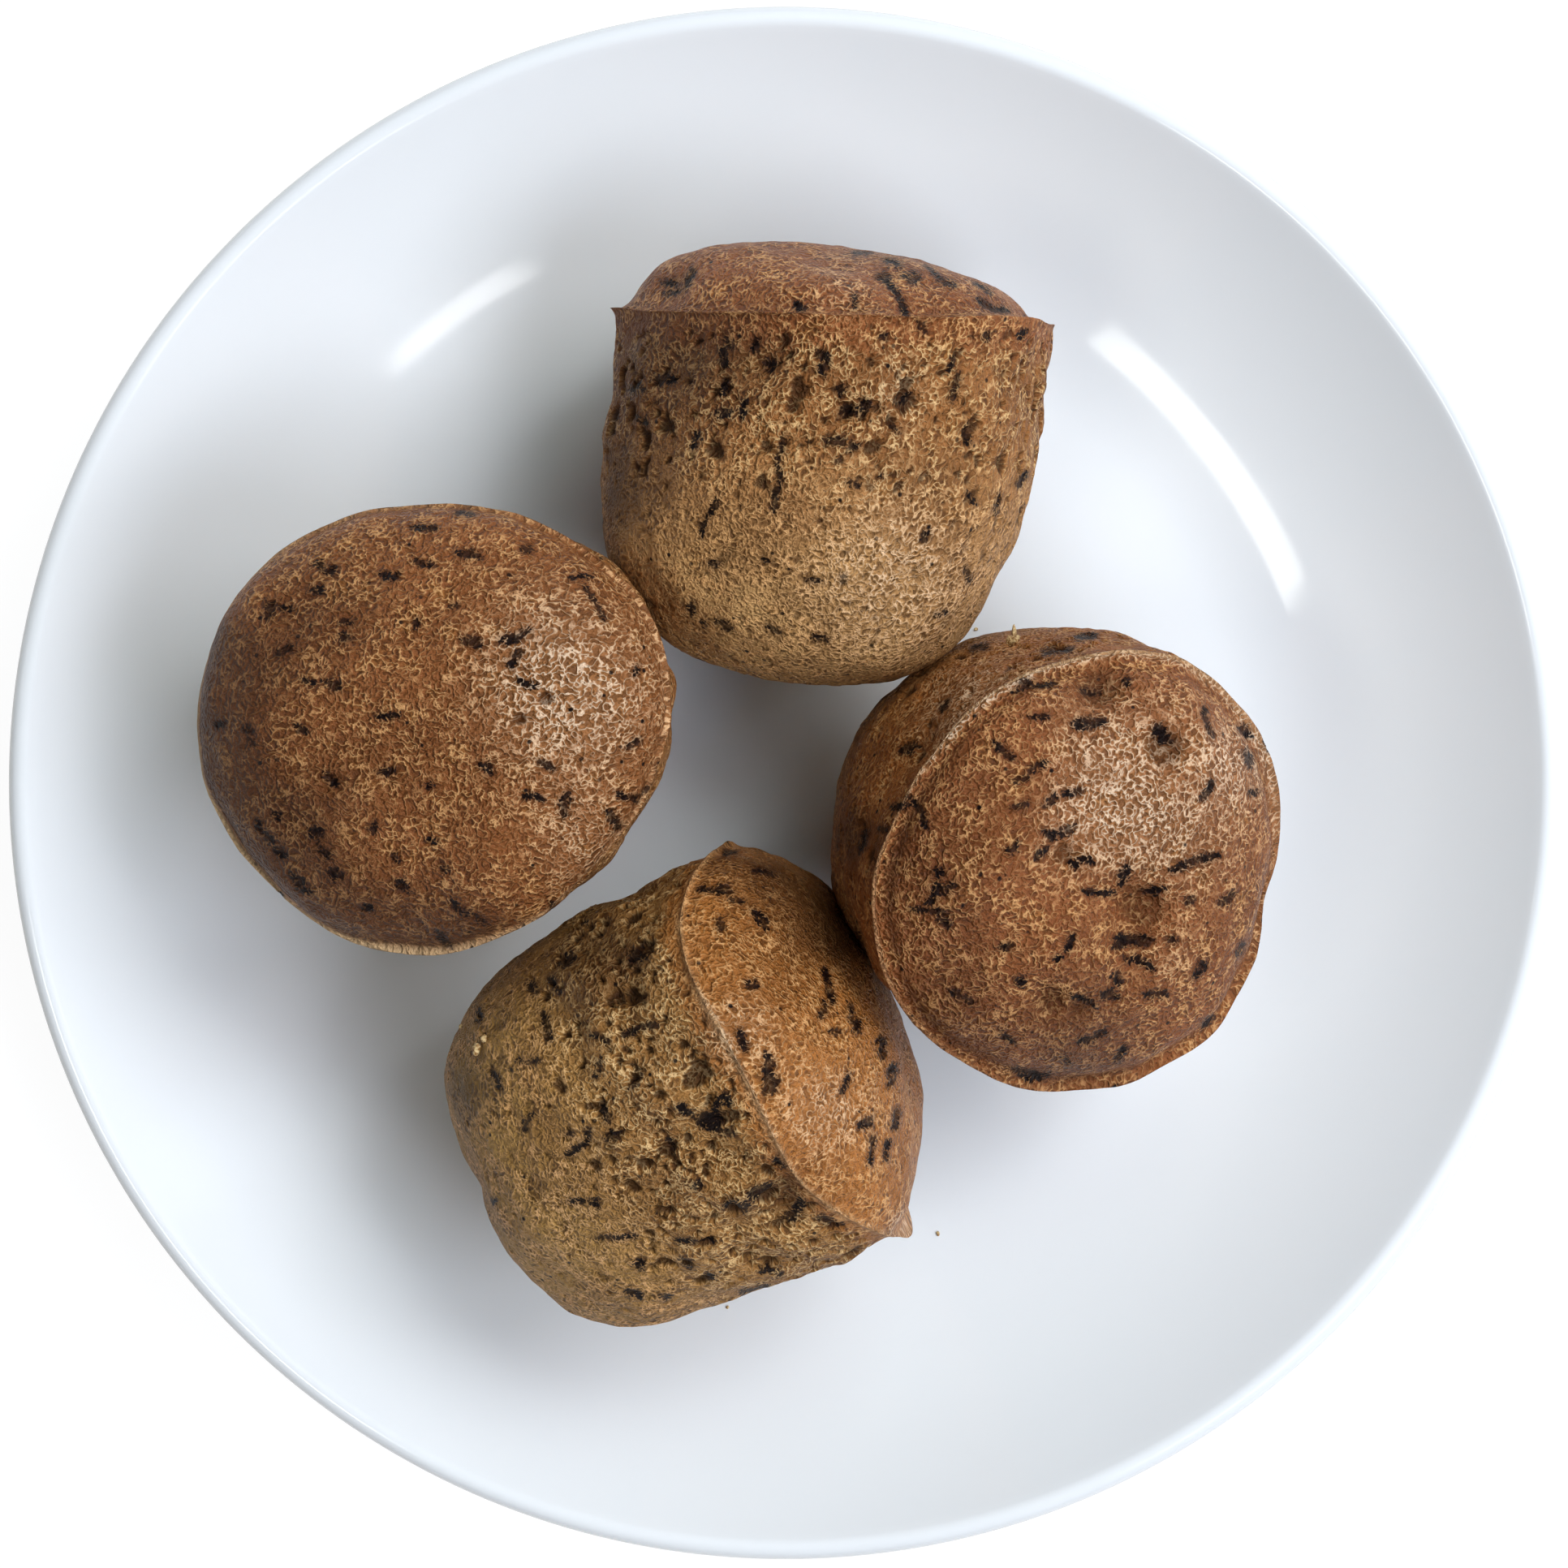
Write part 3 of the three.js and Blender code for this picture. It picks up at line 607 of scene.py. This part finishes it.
def strands(centre, length, way, across, width, draw):
    """The strands that make up one fibre mark, as (start, end, half width): a thin mark is a single
    strand with a bend, and a broad one is a tangle of short ones."""
    if width < 0.36 * length and width < THIN_MARK:
        middle = centre + across * draw.uniform(-0.12, 0.12) * length
        yield centre - way * length / 2, middle, 0.5 * width
        yield middle, centre + way * length / 2, 0.5 * width
        return
    for _ in range(int(4 + 2.5 * width)):
        along = draw.uniform(-0.4, 0.4) * length
        beside = draw.uniform(-0.38, 0.38) * width
        swing = draw.uniform(-0.7, 0.7)
        reach = draw.uniform(0.16, 0.34) * length + 0.2
        strand = way * math.cos(swing) + across * math.sin(swing)
        middle = centre + way * along + across * beside
        yield middle - strand * reach / 2, middle + strand * reach / 2, draw.uniform(0.18, 0.34) * width


def mark_fibre(fibre, near, points, strand):
    """Brings the distance to a strand into the field, at the chosen points."""
    start, end, half_width = strand
    distance, share = segment_distance(points, start, end)
    taper = 1 - 0.55 * (2 * share - 1) ** 2
    fibre[near] = np.minimum(fibre[near], distance - half_width * taper)


def seen_fields(name, points, normals, draw):
    """How far each point is from the fibres that the photo shows on a cake, how deep its hollows are, how
    much sheen its patches paint on it, which is below 0 where they paint shade, and whether the photo shows
    the point."""
    close_up = CLOSE_UPS[name]
    fibre = np.full(len(points), MARK_CLIP[1])
    hollow = np.zeros(len(points))
    pale = np.zeros(len(points))
    pixels, scale = photo_pixels(points)
    pixels = (pixels - close_up["corner"]) * close_up["zoom"]
    sight = np.array(CAMERA_PLACE) - points
    facing = np.einsum("ij,ij->i", normals, sight / norm(sight, axis=1)[:, None])
    seen = facing > SEEN_FACING

    def carrier(x, y, reach):
        """How many pixels a millimetre takes on the topmost surface at a place in the close-up, and the
        points round that place."""
        away = norm(pixels - (x, y), axis=1)
        close = np.flatnonzero(seen & (away < max(SPOT_SEARCH, away[seen].min() + 2)))
        top = close[np.argmax(points[close, 2])]
        per_mm = scale[top] * close_up["zoom"]
        round_it = norm(points - points[top], axis=1) < 1.6 * reach / per_mm + MARK_MARGIN
        return per_mm, np.flatnonzero(seen & round_it & (away < reach + MARK_MARGIN * per_mm))

    for x, y, length, angle, width in close_up["marks"]:
        per_mm, near = carrier(x, y, length / 2 + width)
        way = direction(angle, 0)[:2] * (1, -1)
        across = np.array([way[1], -way[0]])
        centre = np.array([x, y]) / per_mm
        for strand in strands(centre, length / per_mm, way, across, width / per_mm, draw):
            mark_fibre(fibre, near, pixels[near] / per_mm, strand)
    for x, y, radius, depth in close_up["hollows"]:
        per_mm, near = carrier(x, y, 2.5 * radius)
        away = norm(pixels[near] - (x, y), axis=1) / radius
        form = smooth_step(1.2, 0.7, away) if radius < HOLE_RADIUS else bell(away, 0, 1)
        hollow[near] = np.maximum(hollow[near], depth * form)
    # A patch paints a sheen where its strength is positive and shade where it is negative.
    for x, y, radius, strength in close_up["patches"]:
        pale += strength * bell(norm(pixels - (x, y), axis=1), 0, radius)
    return fibre, hollow, pale * smooth_step(SEEN_FACING, 0.3, facing), seen


def unseen_fibres(fibre, points, normals, hidden, draw):
    """Strews fibres over the sides that the photo doesn't show."""
    candidates = np.flatnonzero(hidden)
    for _ in range(UNSEEN_MARKS):
        at = candidates[draw.integers(len(candidates))]
        way = np.cross(normals[at], draw.normal(size=3))
        way /= norm(way)
        across = np.cross(normals[at], way)
        length, width = draw.uniform(1.5, 5.5), draw.uniform(0.4, 1.2)
        near = np.flatnonzero(norm(points - points[at], axis=1) < length + 3)
        for strand in strands(points[at], length, way, across, width, draw):
            mark_fibre(fibre, near, points[near], strand)


# ---- The crumb's relief ----

def torn_crumb(cake, top, below):
    """How open and torn the crumb is: most on the upper side, and not on the dome."""
    band = cake.band
    upper = smooth_step(*TORN_DEPTHS, below) * smooth_step(0.4 * band, 1.6 * band, below)
    return (1 - top) * (CALM_CRUMB + (cake.torn - CALM_CRUMB) * upper)


def pits(local, torn, number):
    """How far each point lies in a pit, from 0 to 1: small pits all over, and large ones in torn crumb."""
    bent = local + 0.9 * drift(local, 1.9, number + 20)
    away, chance = cells(bent, SMALL_PIT_SPACING, number + 5)
    share = 0.25 + 0.45 * np.minimum(torn, 1.5)
    small = (0.45 + 0.35 * torn) * smooth_step(0.42, 0.16, away) * (chance < share * 0.6)
    bent += drift(local, 3.3, number + 30)
    away, chance = cells(bent * (1, 1, 0.8), LARGE_PIT_SPACING, number + 9)
    size = 0.14 + 0.16 * chance / np.maximum(0.2, share)
    large = np.minimum(1, torn) * smooth_step(size + 0.1, size - 0.06, away) * (chance < share)
    return np.maximum(small, large)


def rim_bead(cake, local, edge):
    """The height of the rim's raised edge and of the groove beside it, the sheen painted on the raised edge
    with the shade painted in the groove, and how pale the rim's very edge is."""
    height, width, highest_at = cake.bead
    round_rim = 0.6 + 0.4 * np.cos(np.arctan2(local[:, 1], local[:, 0]) - math.radians(highest_at))
    height = height * round_rim
    brim = bell(edge, 0.5 * width, 0.6 * width)
    groove = bell(edge, 1.9 * width, 0.5 * width)
    lip = cake.lip * round_rim ** 2 * bell(edge, 0, 0.9)
    # The middle value paints a sheen on the raised edge and shade in the groove.
    return height * (brim - 0.5 * groove), height * (1.6 * brim - 0.8 * groove), lip


def crumb_relief(cake, local, top, edge, fibre, hollow):
    """The crumb's relief in mm, what its material needs to know of pits, lip and torn crumb, and the sheen
    painted on the rim's raised edge with shade painted in its groove. The crumb is fine and dense on the
    dome, and open and torn on the side."""
    number = round(cake.seed * 100)
    torn = torn_crumb(cake, top, np.maximum(0, -local[:, 2]))
    relief = sum(height * cloud(local, length, number + k) for k, (length, height) in enumerate(CRUMB_LUMPS))
    relief += (GRAIN_HEIGHT + TORN_GRAIN * torn) * cloud(local, GRAIN_LENGTH, number + len(CRUMB_LUMPS))
    pit = pits(local, torn, number)
    pit *= smooth_step(0.4, 1.6, np.abs(edge)) * (1 - top + 0.5 * top)
    relief -= (PIT_DEPTH + TORN_PIT_DEPTH * np.minimum(torn, 1.6)) * pit
    relief *= 1 - 0.6 * bell(edge, 0, LIP_WIDTH)
    raised, paler, lip = rim_bead(cake, local, edge)
    relief += raised
    relief -= FIBRE_DEPTH * smooth_step(0.15, -0.3, fibre)
    relief -= hollow
    return relief - CRUMB_SINK, {"pit": pit, "lip": lip, "torn": torn}, paler


# ---- The cakes ----

def give_fields(piece, place, fields):
    """Stores what the material needs to know at each point, and for the two ends the first and last value."""
    give = piece.data.attributes.new
    give("place", "FLOAT_VECTOR", "POINT").data.foreach_set("vector", place.astype(np.float32).ravel())
    for field, values in fields.items():
        whole = np.concatenate([values, values[[0, -1]]]).astype(np.float32)
        give(field, "FLOAT", "POINT").data.foreach_set("value", whole)


def make_cake(name, cake):
    """One cake as a fine ring grid, with what its material needs to know at each point."""
    out, up, edge = cake_profile(cake)
    rings = len(out) - 2
    plain = revolved(out[1:-1], up[1:-1], CAKE_SEGMENTS)
    edge = np.repeat(edge[1:-1], CAKE_SEGMENTS)
    from_rim = cake.rim - np.hypot(plain[:, 0], plain[:, 1])
    top = np.where(edge > 0, smooth_step(0, cake.flange[0], from_rim), 0)
    posed = turned(cake, uneven(cake, plain, top))
    lowest = WELL_HEIGHT + TOUCHING - SETTLING
    posed += np.array([*cake.place, lowest - posed[:, 2].min()])

    draw = np.random.default_rng(round(cake.seed * 1000))
    normals = grid_normals(posed.reshape(rings, CAKE_SEGMENTS, 3)).reshape(-1, 3)
    fibre, hollow, pale, seen = seen_fields(name, posed, normals, draw)
    unseen_fibres(fibre, posed, normals, ~seen, draw)
    relief, marks, paler = crumb_relief(cake, plain, top, edge, fibre, hollow)

    surfaces[name] = pressed(name, posed + normals * relief[:, None])
    piece = ring_mesh(name.replace("cake", "banana_cake"), surfaces[name], rings, CAKE_SEGMENTS)
    place = np.concatenate([plain, [[0, 0, up[0]], [0, 0, up[-1]]]]) + 100 * cake.seed
    # pale carries a painted sheen, and painted shade where it is below 0, from the patches and the rim's
    # raised edge.
    give_fields(piece, place, {
        "fibre": np.clip(fibre, *MARK_CLIP), "hollow": hollow, "pale": pale + paler, "dome": top,
        "below": np.maximum(0, -plain[:, 2]), **marks,
    })
    return piece


# ---- The plate ----

def bezier(a, b, c, d, steps):
    t = np.linspace(0, 1, steps + 1)[:, None]
    return (1 - t) ** 3 * a + 3 * (1 - t) ** 2 * t * b + 3 * (1 - t) * t * t * c + t ** 3 * d


def arc(centre, radius, start, end, steps):
    turn = np.radians(np.linspace(start, end, steps + 1))
    return np.array(centre) + radius * np.stack([np.cos(turn), np.sin(turn)], axis=1)


def level(start, end, height, count):
    """A level stretch of a profile."""
    return np.stack([np.linspace(start, end, count), np.full(count, height)], axis=1)


def plate_profile():
    """Radius and height from the middle of the underside, round the foot and the lip, to the well."""
    _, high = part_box("plate")
    lip = WALL_THICKNESS / 2
    lip_centre = np.array([high.x / MM - lip, high.z / MM - lip])
    slope = direction(RIM_SLOPE, 0)[:2]
    across = np.array([-slope[1], slope[0]])
    inner, outer = lip_centre + across * lip, lip_centre - across * lip
    under = WELL_HEIGHT - WALL_THICKNESS
    foot_out, foot_in = FOOT_RADIUS + FOOT_WIDTH / 2, FOOT_RADIUS - FOOT_WIDTH / 2
    bend = WELL_RADIUS + WELL_SOFTNESS
    outside = bezier(np.array([foot_out + 1, under]), np.array([bend, under]),
                     outer - slope * RIM_SOFTNESS, outer, WALL_STEPS)
    inside = bezier(inner, inner - slope * RIM_SOFTNESS, np.array([bend, WELL_HEIGHT]),
                    np.array([WELL_RADIUS, WELL_HEIGHT]), WALL_STEPS)
    foot_bend_in, foot_bend_out = foot_in + FOOT_ROUNDING - FOOT_BULGE, foot_out - FOOT_ROUNDING + FOOT_BULGE
    return np.concatenate([
        level(INNERMOST, foot_in - 3, under, UNDER_STEPS),
        [(foot_in - 1, under)],
        arc((foot_bend_in, FOOT_ROUNDING), FOOT_ROUNDING, 180, 270, FOOT_STEPS),
        arc((foot_bend_out, FOOT_ROUNDING), FOOT_ROUNDING, 270, 360, FOOT_STEPS),
        outside,
        arc(lip_centre, lip, RIM_SLOPE - 90, RIM_SLOPE + 90, LIP_STEPS)[1:-1],
        inside,
        level(WELL_RADIUS - 2, INNERMOST, WELL_HEIGHT, OVER_STEPS),
    ])


def make_plate():
    out, up = plate_profile().T
    ends = [[0, 0, up[0]], [0, 0, up[-1]]]
    surfaces["plate"] = np.concatenate([revolved(out, up, PLATE_SEGMENTS), ends])
    piece = ring_mesh("round_plate", surfaces["plate"], len(out), PLATE_SEGMENTS)
    piece.data.materials.append(glaze_material())
    piece.data.materials.append(foot_material())
    for face in piece.data.polygons:
        near_foot = abs(math.hypot(*face.center[:2]) / MM - FOOT_RADIUS) < FOOT_WIDTH / 2
        face.material_index = int(near_foot and face.center.z / MM < BARE_FOOT_HEIGHT)
    return piece


# ---- Loose crumbs ----

def make_crumbs():
    """Small torn lumps, each lying on what the photo shows it on."""
    whole = bmesh.new()
    for number, (carrier, x, y, half_width, half_length) in enumerate(LOOSE_CRUMBS):
        points = surfaces[carrier]
        away = norm(photo_pixels(points)[0] - (x, y), axis=1)
        close = np.flatnonzero(away < away.min() + CRUMB_SEARCH)
        spot = points[close[np.argmax(points[close, 2])]]
        made = bmesh.ops.create_icosphere(whole, subdivisions=4, radius=1.0)["verts"]
        ball = np.array([vertex.co for vertex in made])
        rough = 1
        for layer, (length, height) in enumerate(CRUMB_ROUGHENING):
            rough += height * cloud(ball, length, 900 + 30 * layer + number)
        lump = ball * rough[:, None] * (half_width, half_length, half_width)
        lump += spot + np.array([0, 0, 0.3 * half_width])
        for vertex, point in zip(made, lump * MM):
            vertex.co = point
    mesh = bpy.data.meshes.new("loose_crumbs")
    whole.to_mesh(mesh)
    whole.free()
    mesh.shade_smooth()
    mesh.materials.append(loose_crumb_material())
    return add_object("loose_crumbs", mesh)


# ---- Materials ----

class Value:
    """A node's output. Arithmetic with it makes new nodes."""

    def __init__(self, shader, socket):
        self.shader, self.socket = shader, socket

    def maths(self, operation, other=0.0):
        return self.shader.add("Math", {0: self, 1: other}, operation=operation)

    def __add__(self, other):
        return self.maths("ADD", other)

    def __sub__(self, number):
        return self.maths("ADD", -number)

    def __mul__(self, other):
        return self.maths("MULTIPLY", other)

    def between(self, low, high, at_low=0.0, at_high=1.0):
        """The smooth way from at_low, where the value is low, to at_high, where it is high."""
        inputs = {"Value": self, "From Min": low, "From Max": high, "To Min": at_low, "To Max": at_high}
        return self.shader.add("MapRange", inputs, interpolation_type="SMOOTHSTEP")


class Shader:
    """A material's nodes. An input is a plain number or colour, or a value that is linked to it."""

    def __init__(self, name):
        self.material = bpy.data.materials.new(name)
        self.material.use_nodes = True
        self.tree = self.material.node_tree

    def feed(self, node, inputs):
        for key, value in inputs.items():
            if isinstance(value, Value):
                self.tree.links.new(value.socket, node.inputs[key])
            else:
                node.inputs[key].default_value = value

    def node(self, kind, inputs, **settings):
        made = self.tree.nodes.new("ShaderNode" + kind)
        for key, value in settings.items():
            setattr(made, key, value)
        self.feed(made, inputs)
        return made

    def add(self, kind, inputs, output=0, **settings):
        return Value(self, self.node(kind, inputs, **settings).outputs[output])

    def field(self, name, output="Fac"):
        return self.add("Attribute", {}, output, attribute_name=name)

    def mix(self, share, a, b):
        return self.add("Mix", {0: share, 6: a, 7: b}, 2, data_type="RGBA")

    def noise(self, place, scale, detail, roughness=0.5, output="Fac", distortion=0.0):
        inputs = {"Vector": place, "Scale": scale, "Detail": detail, "Roughness": roughness,
                  "Distortion": distortion}
        return self.add("TexNoise", inputs, output)

    def finish(self, colour, roughness, relief, depth, specular=0.5):
        """Ends the material. The relief's height is a share of its depth in mm."""
        normal = self.add("Bump", {"Height": relief, "Distance": depth * MM, "Strength": 1.0})
        self.feed(self.tree.nodes["Principled BSDF"], {
            "Base Color": colour, "Roughness": roughness, "Normal": normal, "Specular IOR Level": specular,
        })
        return self.material


class CrumbShader(Shader):
    """Moist steamed crumb with its dark banana fibres, and the patterns that its layers share."""

    def __init__(self, name, strokes, band):
        super().__init__(name)
        self.place = self.field("place", "Vector")
        self.below, self.dome, pale = self.field("below"), self.field("dome"), self.field("pale")
        # Where the pale field is above 0 a sheen is painted, and where it is below 0 shade is painted.
        self.sheen, self.dim = pale.between(0.0, 1.0), pale.between(0.0, -1.0)
        self.open_crumb = self.field("torn").between(0.5, 1.8)
        wander = self.noise(self.place, 0.55, 1.0, output="Color")
        self.warped = self.add("VectorMath", {0: self.place, 1: wander}, operation="ADD")
        self.patches = self.noise(self.place, 0.30, 2.0, 0.6)
        self.fine = self.noise(self.place, 3.0, 2.0, 0.65)
        worms = (self.noise(self.warped, 1.05, 1.0) - 0.5).maths("ABSOLUTE")
        self.ridge, self.gap = worms.between(0.01, 0.085, 1.0, 0.0), worms.between(0.09, 0.20)
        crust_end = self.below + (self.patches - 0.5) * (1.5 * band)
        self.crust = crust_end.between(0.7 * band, 2.0 * band, 0.85, 0.0)
        broken = self.noise(self.place, 0.9, 0.0)
        clear = self.patches.between(0.38, 0.6, 0.35) * broken.between(0.35, 0.6, 0.6)
        # The ridges show more clearly where a sheen is painted.
        clear = (clear + self.sheen * 0.35).between(0.0, 1.0) * self.dome.between(0.0, 1.0, *strokes)
        self.clear = clear * self.crust.between(0.3, 0.85, 1.0, strokes[1])

    def layered(self, colour, **layers):
        """The colour under layers of the crumb's colours, each given by how much it covers."""
        for name, share in layers.items():
            colour = self.mix(share, colour, linear(CRUMB_COLOURS[name]))
        return colour

    def ground(self, side, base, dome):
        """The tones, with broad clouds and golden patches, and the shade and sheen that the pale field
        paints.
        """
        colour = self.mix(self.below.between(12.0, 46.0), side, base)
        colour = self.mix(self.dome.maths("MAXIMUM", self.crust), colour, dome)
        broad = self.noise(self.place, 0.07, 2.0)
        golden = self.patches.between(0.5, 0.8, 0.0, 0.35)
        # Painted shade and a painted sheen, as the pale field asks for.
        return self.layered(colour, cloud=broad.between(0.35, 0.7, 0.0, 0.4), golden=golden,
                            dim=self.dim * 0.68, sheen=self.sheen * 0.35)

    def ridged(self, colour):
        """Fine bright ridges, with dark gaps between them and dark specks. Partly the crumb's own lighter and
        darker
        grain, and partly painted light: highlights on the ridges, glints where the sheen is painted, and
        shade in the gaps and in the specks, which sit in the fine relief's low spots.
        """
        bright = self.mix(self.sheen, linear(DRY_RIDGE), linear(WET_RIDGE))
        bright = self.layered(bright, torn_ridge=self.open_crumb * 0.5)
        # Painted highlight on the ridges, which fades where shade is painted.
        colour = self.mix(self.ridge * self.clear * self.dim.between(0.0, 1.0, 0.8, 0.25), colour, bright)
        # Painted shade in the gaps between the ridges, and dark specks in the fine relief's low spots, partly
        # the crumb's own and partly painted shade.
        return self.layered(colour, gap=self.gap * self.clear * 0.7,
                            speck=self.fine.between(0.44, 0.26, 0.0, 0.75))

    def torn_open(self, colour):
        """The rim's pale edge, painted shade in the hollows and pits, and dark tears where the crumb is open,
        which are painted shade in its crevices and grow stronger where shade is painted.
        """
        # The tears are painted shade in the open crumb's crevices, stronger where shade is painted.
        tear = self.noise(self.warped, 0.80, 3.0, 0.6, distortion=0.5).between(0.56, 0.64) * self.open_crumb
        tear = tear * self.patches.between(0.36, 0.56, 0.25) * self.dim.between(0.0, 0.5, 0.5)
        # Painted shade in the hollows and pits.
        hollow = self.field("hollow").between(0.1, 0.8, 0.0, 0.6)
        pit = self.field("pit").between(0.1, 0.8, 0.0, 0.8)
        return self.layered(colour, lip=self.field("lip"), hollow=hollow, pit=pit, tear=tear * 0.8)

    def fibres(self, colour):
        """Dark fibres with ragged edges and a faint dark halo, and small dark specks between them."""
        fibre = self.field("fibre")
        ragged = fibre + (self.noise(self.place, 2.6, 2.0, 0.6) - 0.5) * 1.6 + self.ridge * 0.25
        strewn = self.node("TexVoronoi", {"Vector": self.place, "Scale": 0.42})
        away = Value(self, strewn.outputs["Distance"])
        chance = self.add("SeparateColor", {0: Value(self, strewn.outputs["Color"])})
        specks = away.between(0.17, 0.09) * chance.between(0.62, 0.66)
        dark = ragged.between(0.40, 0.16).maths("MAXIMUM", specks)
        dark = dark * self.noise(self.place, 0.45, 1.0).between(0.35, 0.6, 0.72, 0.98)
        return self.layered(colour, halo=fibre.between(1.0, 0.1, 0.0, 0.4), fibre=dark)


def crumb_material(name, cake):
    shader = CrumbShader(name, cake.strokes, cake.band)
    colour = shader.ground(*map(linear, cake.tones))
    colour = shader.fibres(shader.torn_open(shader.ridged(colour)))
    rough = shader.dome.between(0.0, 1.0, *CRUMB_ROUGHNESS) + shader.sheen * -0.1 + (shader.fine - 0.5) * 0.3
    grain = shader.ridge * 0.4 + shader.gap * -0.5 + shader.fine * 0.7
    return shader.finish(colour, rough, grain, 0.42, specular=0.3)


def loose_crumb_material():
    """The pale torn inside of the cake."""
    shader = Shader("loose_crumb")
    grain = shader.noise(shader.add("TexCoord", {}, "Object"), 2500.0, 3.0, 0.6)
    colour = shader.mix(grain.between(0.35, 0.65), *map(linear, LOOSE_CRUMB_COLOURS))
    return shader.finish(colour, 0.6, grain, 0.15, specular=0.3)


def glaze_material():
    """White glazed porcelain: a clear gloss whose surface is very slightly wavy."""
    shader = Shader("plate_glaze")
    place = shader.add("TexCoord", {}, "Object")
    white = linear(PLATE_COLOUR)
    tone = shader.noise(place, 14.0, 2.0).between(0.3, 0.7)
    colour = shader.mix(tone, white, tuple(0.985 * c for c in white[:3]) + (1.0,))
    rough = shader.noise(place, 220.0, 2.0).between(0.3, 0.7, 0.07, 0.12)
    return shader.finish(colour, rough, shader.noise(place, 32.0, 1.0), 0.12)


def foot_material():
    """The bare, fine-grained porcelain under the foot ring."""
    shader = Shader("plate_foot")
    grain = shader.noise(shader.add("TexCoord", {}, "Object"), 900.0, 3.0)
    return shader.finish(shader.mix(grain, *map(linear, FOOT_COLOURS)), 0.8, grain, 0.05)


# ---- The stage: a pale floor, soft light and the camera ----

def stage_piece(name, points, faces, tone, glow):
    """A part of the studio: a plain white surface that shines a little itself."""
    mesh = bpy.data.meshes.new(name)
    mesh.from_pydata(points, [], faces)
    piece = add_object(name, mesh)
    shader = Shader(name)
    shader.feed(shader.tree.nodes["Principled BSDF"], {
        "Base Color": (tone, tone, tone, 1), "Roughness": 0.9, "Specular IOR Level": 0.0,
        "Emission Color": (1, 1, 1, 1), "Emission Strength": glow,
    })
    mesh.materials.append(shader.material)
    return piece


def make_stage():
    """The floor, and a white wall all round it far away, which gives no light."""
    turn = np.linspace(0, 2 * math.pi, STAGE_SEGMENTS, endpoint=False)
    ring = np.stack([np.cos(turn), np.sin(turn), np.zeros(STAGE_SEGMENTS)], axis=1) * STAGE_RADIUS
    stage_piece("floor", ring - (0, 0, FLOOR_GAP * MM), [list(range(STAGE_SEGMENTS))], FLOOR_TONE, FLOOR_GLOW)
    wall = [(k, (k + 1) % STAGE_SEGMENTS) for k in range(STAGE_SEGMENTS)]
    wall = [(a, b, b + STAGE_SEGMENTS, a + STAGE_SEGMENTS) for a, b in wall]
    backdrop = stage_piece("backdrop", np.concatenate([ring, ring + (0, 0, STAGE_RADIUS)]), wall, 0.0, 1.0)
    backdrop.visible_diffuse = backdrop.visible_glossy = backdrop.visible_shadow = False


# Each light is (name, azimuth and elevation in which it stands, its width and height as angles that it
# takes up seen from the plate, its strength in red, green and blue, whether it shows in the gloss).
LIGHTS = [
    ("key_back", 30, 55, 30, 24, (0.343, 0.350, 0.379), False),
    ("key_side", 60, 55, 30, 24, (0.180, 0.212, 0.215), False),
    ("key_front", 330, 55, 30, 24, (0.356, 0.392, 0.450), False),
    ("low", 90, 14, 50, 18, (0.123, 0.134, 0.154), False),
    ("window", 5, 34, 56, 42, (0.105, 0.120, 0.135), True),
    ("lamp", 215, 63, 24, 8.5, (0.114, 0.116, 0.110), True),
    ("arc", -47, 55, 19, 5, (0.045, 0.045, 0.045), True),
    ("glint", 171, 42, 1.5, 6, (0.004, 0.004, 0.004), True),
]
LIGHT_DISTANCE = 1.3  # metres
LIGHT_GAIN = 1.07  # brings the whole picture to the photo's brightness
LIGHT_POWER = LIGHT_GAIN * 4 * math.pi * LIGHT_DISTANCE ** 2
LIGHT_TARGET_HEIGHT = 20
SKY_BRIGHTNESS = 0.004


def make_lights():
    target = Vector((0, 0, LIGHT_TARGET_HEIGHT * MM))
    for name, azimuth, elevation, width, height, strength, glossy in LIGHTS:
        data = bpy.data.lights.new(name, "AREA")
        data.shape = "RECTANGLE"
        data.size, data.size_y = (2 * LIGHT_DISTANCE * math.tan(math.radians(a) / 2) for a in (width, height))
        data.energy = max(strength) * LIGHT_POWER
        data.color = [part / max(strength) for part in strength]
        light = add_object(name, data)
        outward = Vector(direction(azimuth, elevation))
        light.location = target + outward * LIGHT_DISTANCE
        light.rotation_mode = "QUATERNION"
        light.rotation_quaternion = outward.to_track_quat("Z", "Y")
        light.visible_camera = False
        light.visible_glossy = glossy
    world = bpy.data.worlds.new("studio")
    world.use_nodes = True
    background = world.node_tree.nodes["Background"]
    background.inputs["Color"].default_value = (1, 1, 1, 1)
    background.inputs["Strength"].default_value = SKY_BRIGHTNESS
    bpy.context.scene.world = world
    bpy.context.scene.view_settings.view_transform = "Standard"


def make_camera():
    data = bpy.data.cameras.new("camera")
    data.sensor_width = SENSOR_WIDTH
    data.lens = SENSOR_WIDTH * PHOTO_FOCUS / PHOTO_SIZE
    data.clip_start, data.clip_end = CAMERA_RANGE
    camera = add_object("camera", data)
    camera.location = [MM * c for c in CAMERA_PLACE]
    bpy.context.scene.camera = camera


make_camera()
make_lights()
make_stage()

plate = make_plate()
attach(plate, "root")
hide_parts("plate")

for node_name, cake in CAKES.items():
    cake_piece = make_cake(node_name, cake)
    cake_piece.data.materials.append(crumb_material(node_name + "_crumb", cake))
    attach(cake_piece, "root")
    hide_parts(node_name)

crumbs = make_crumbs()
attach(crumbs, "root")
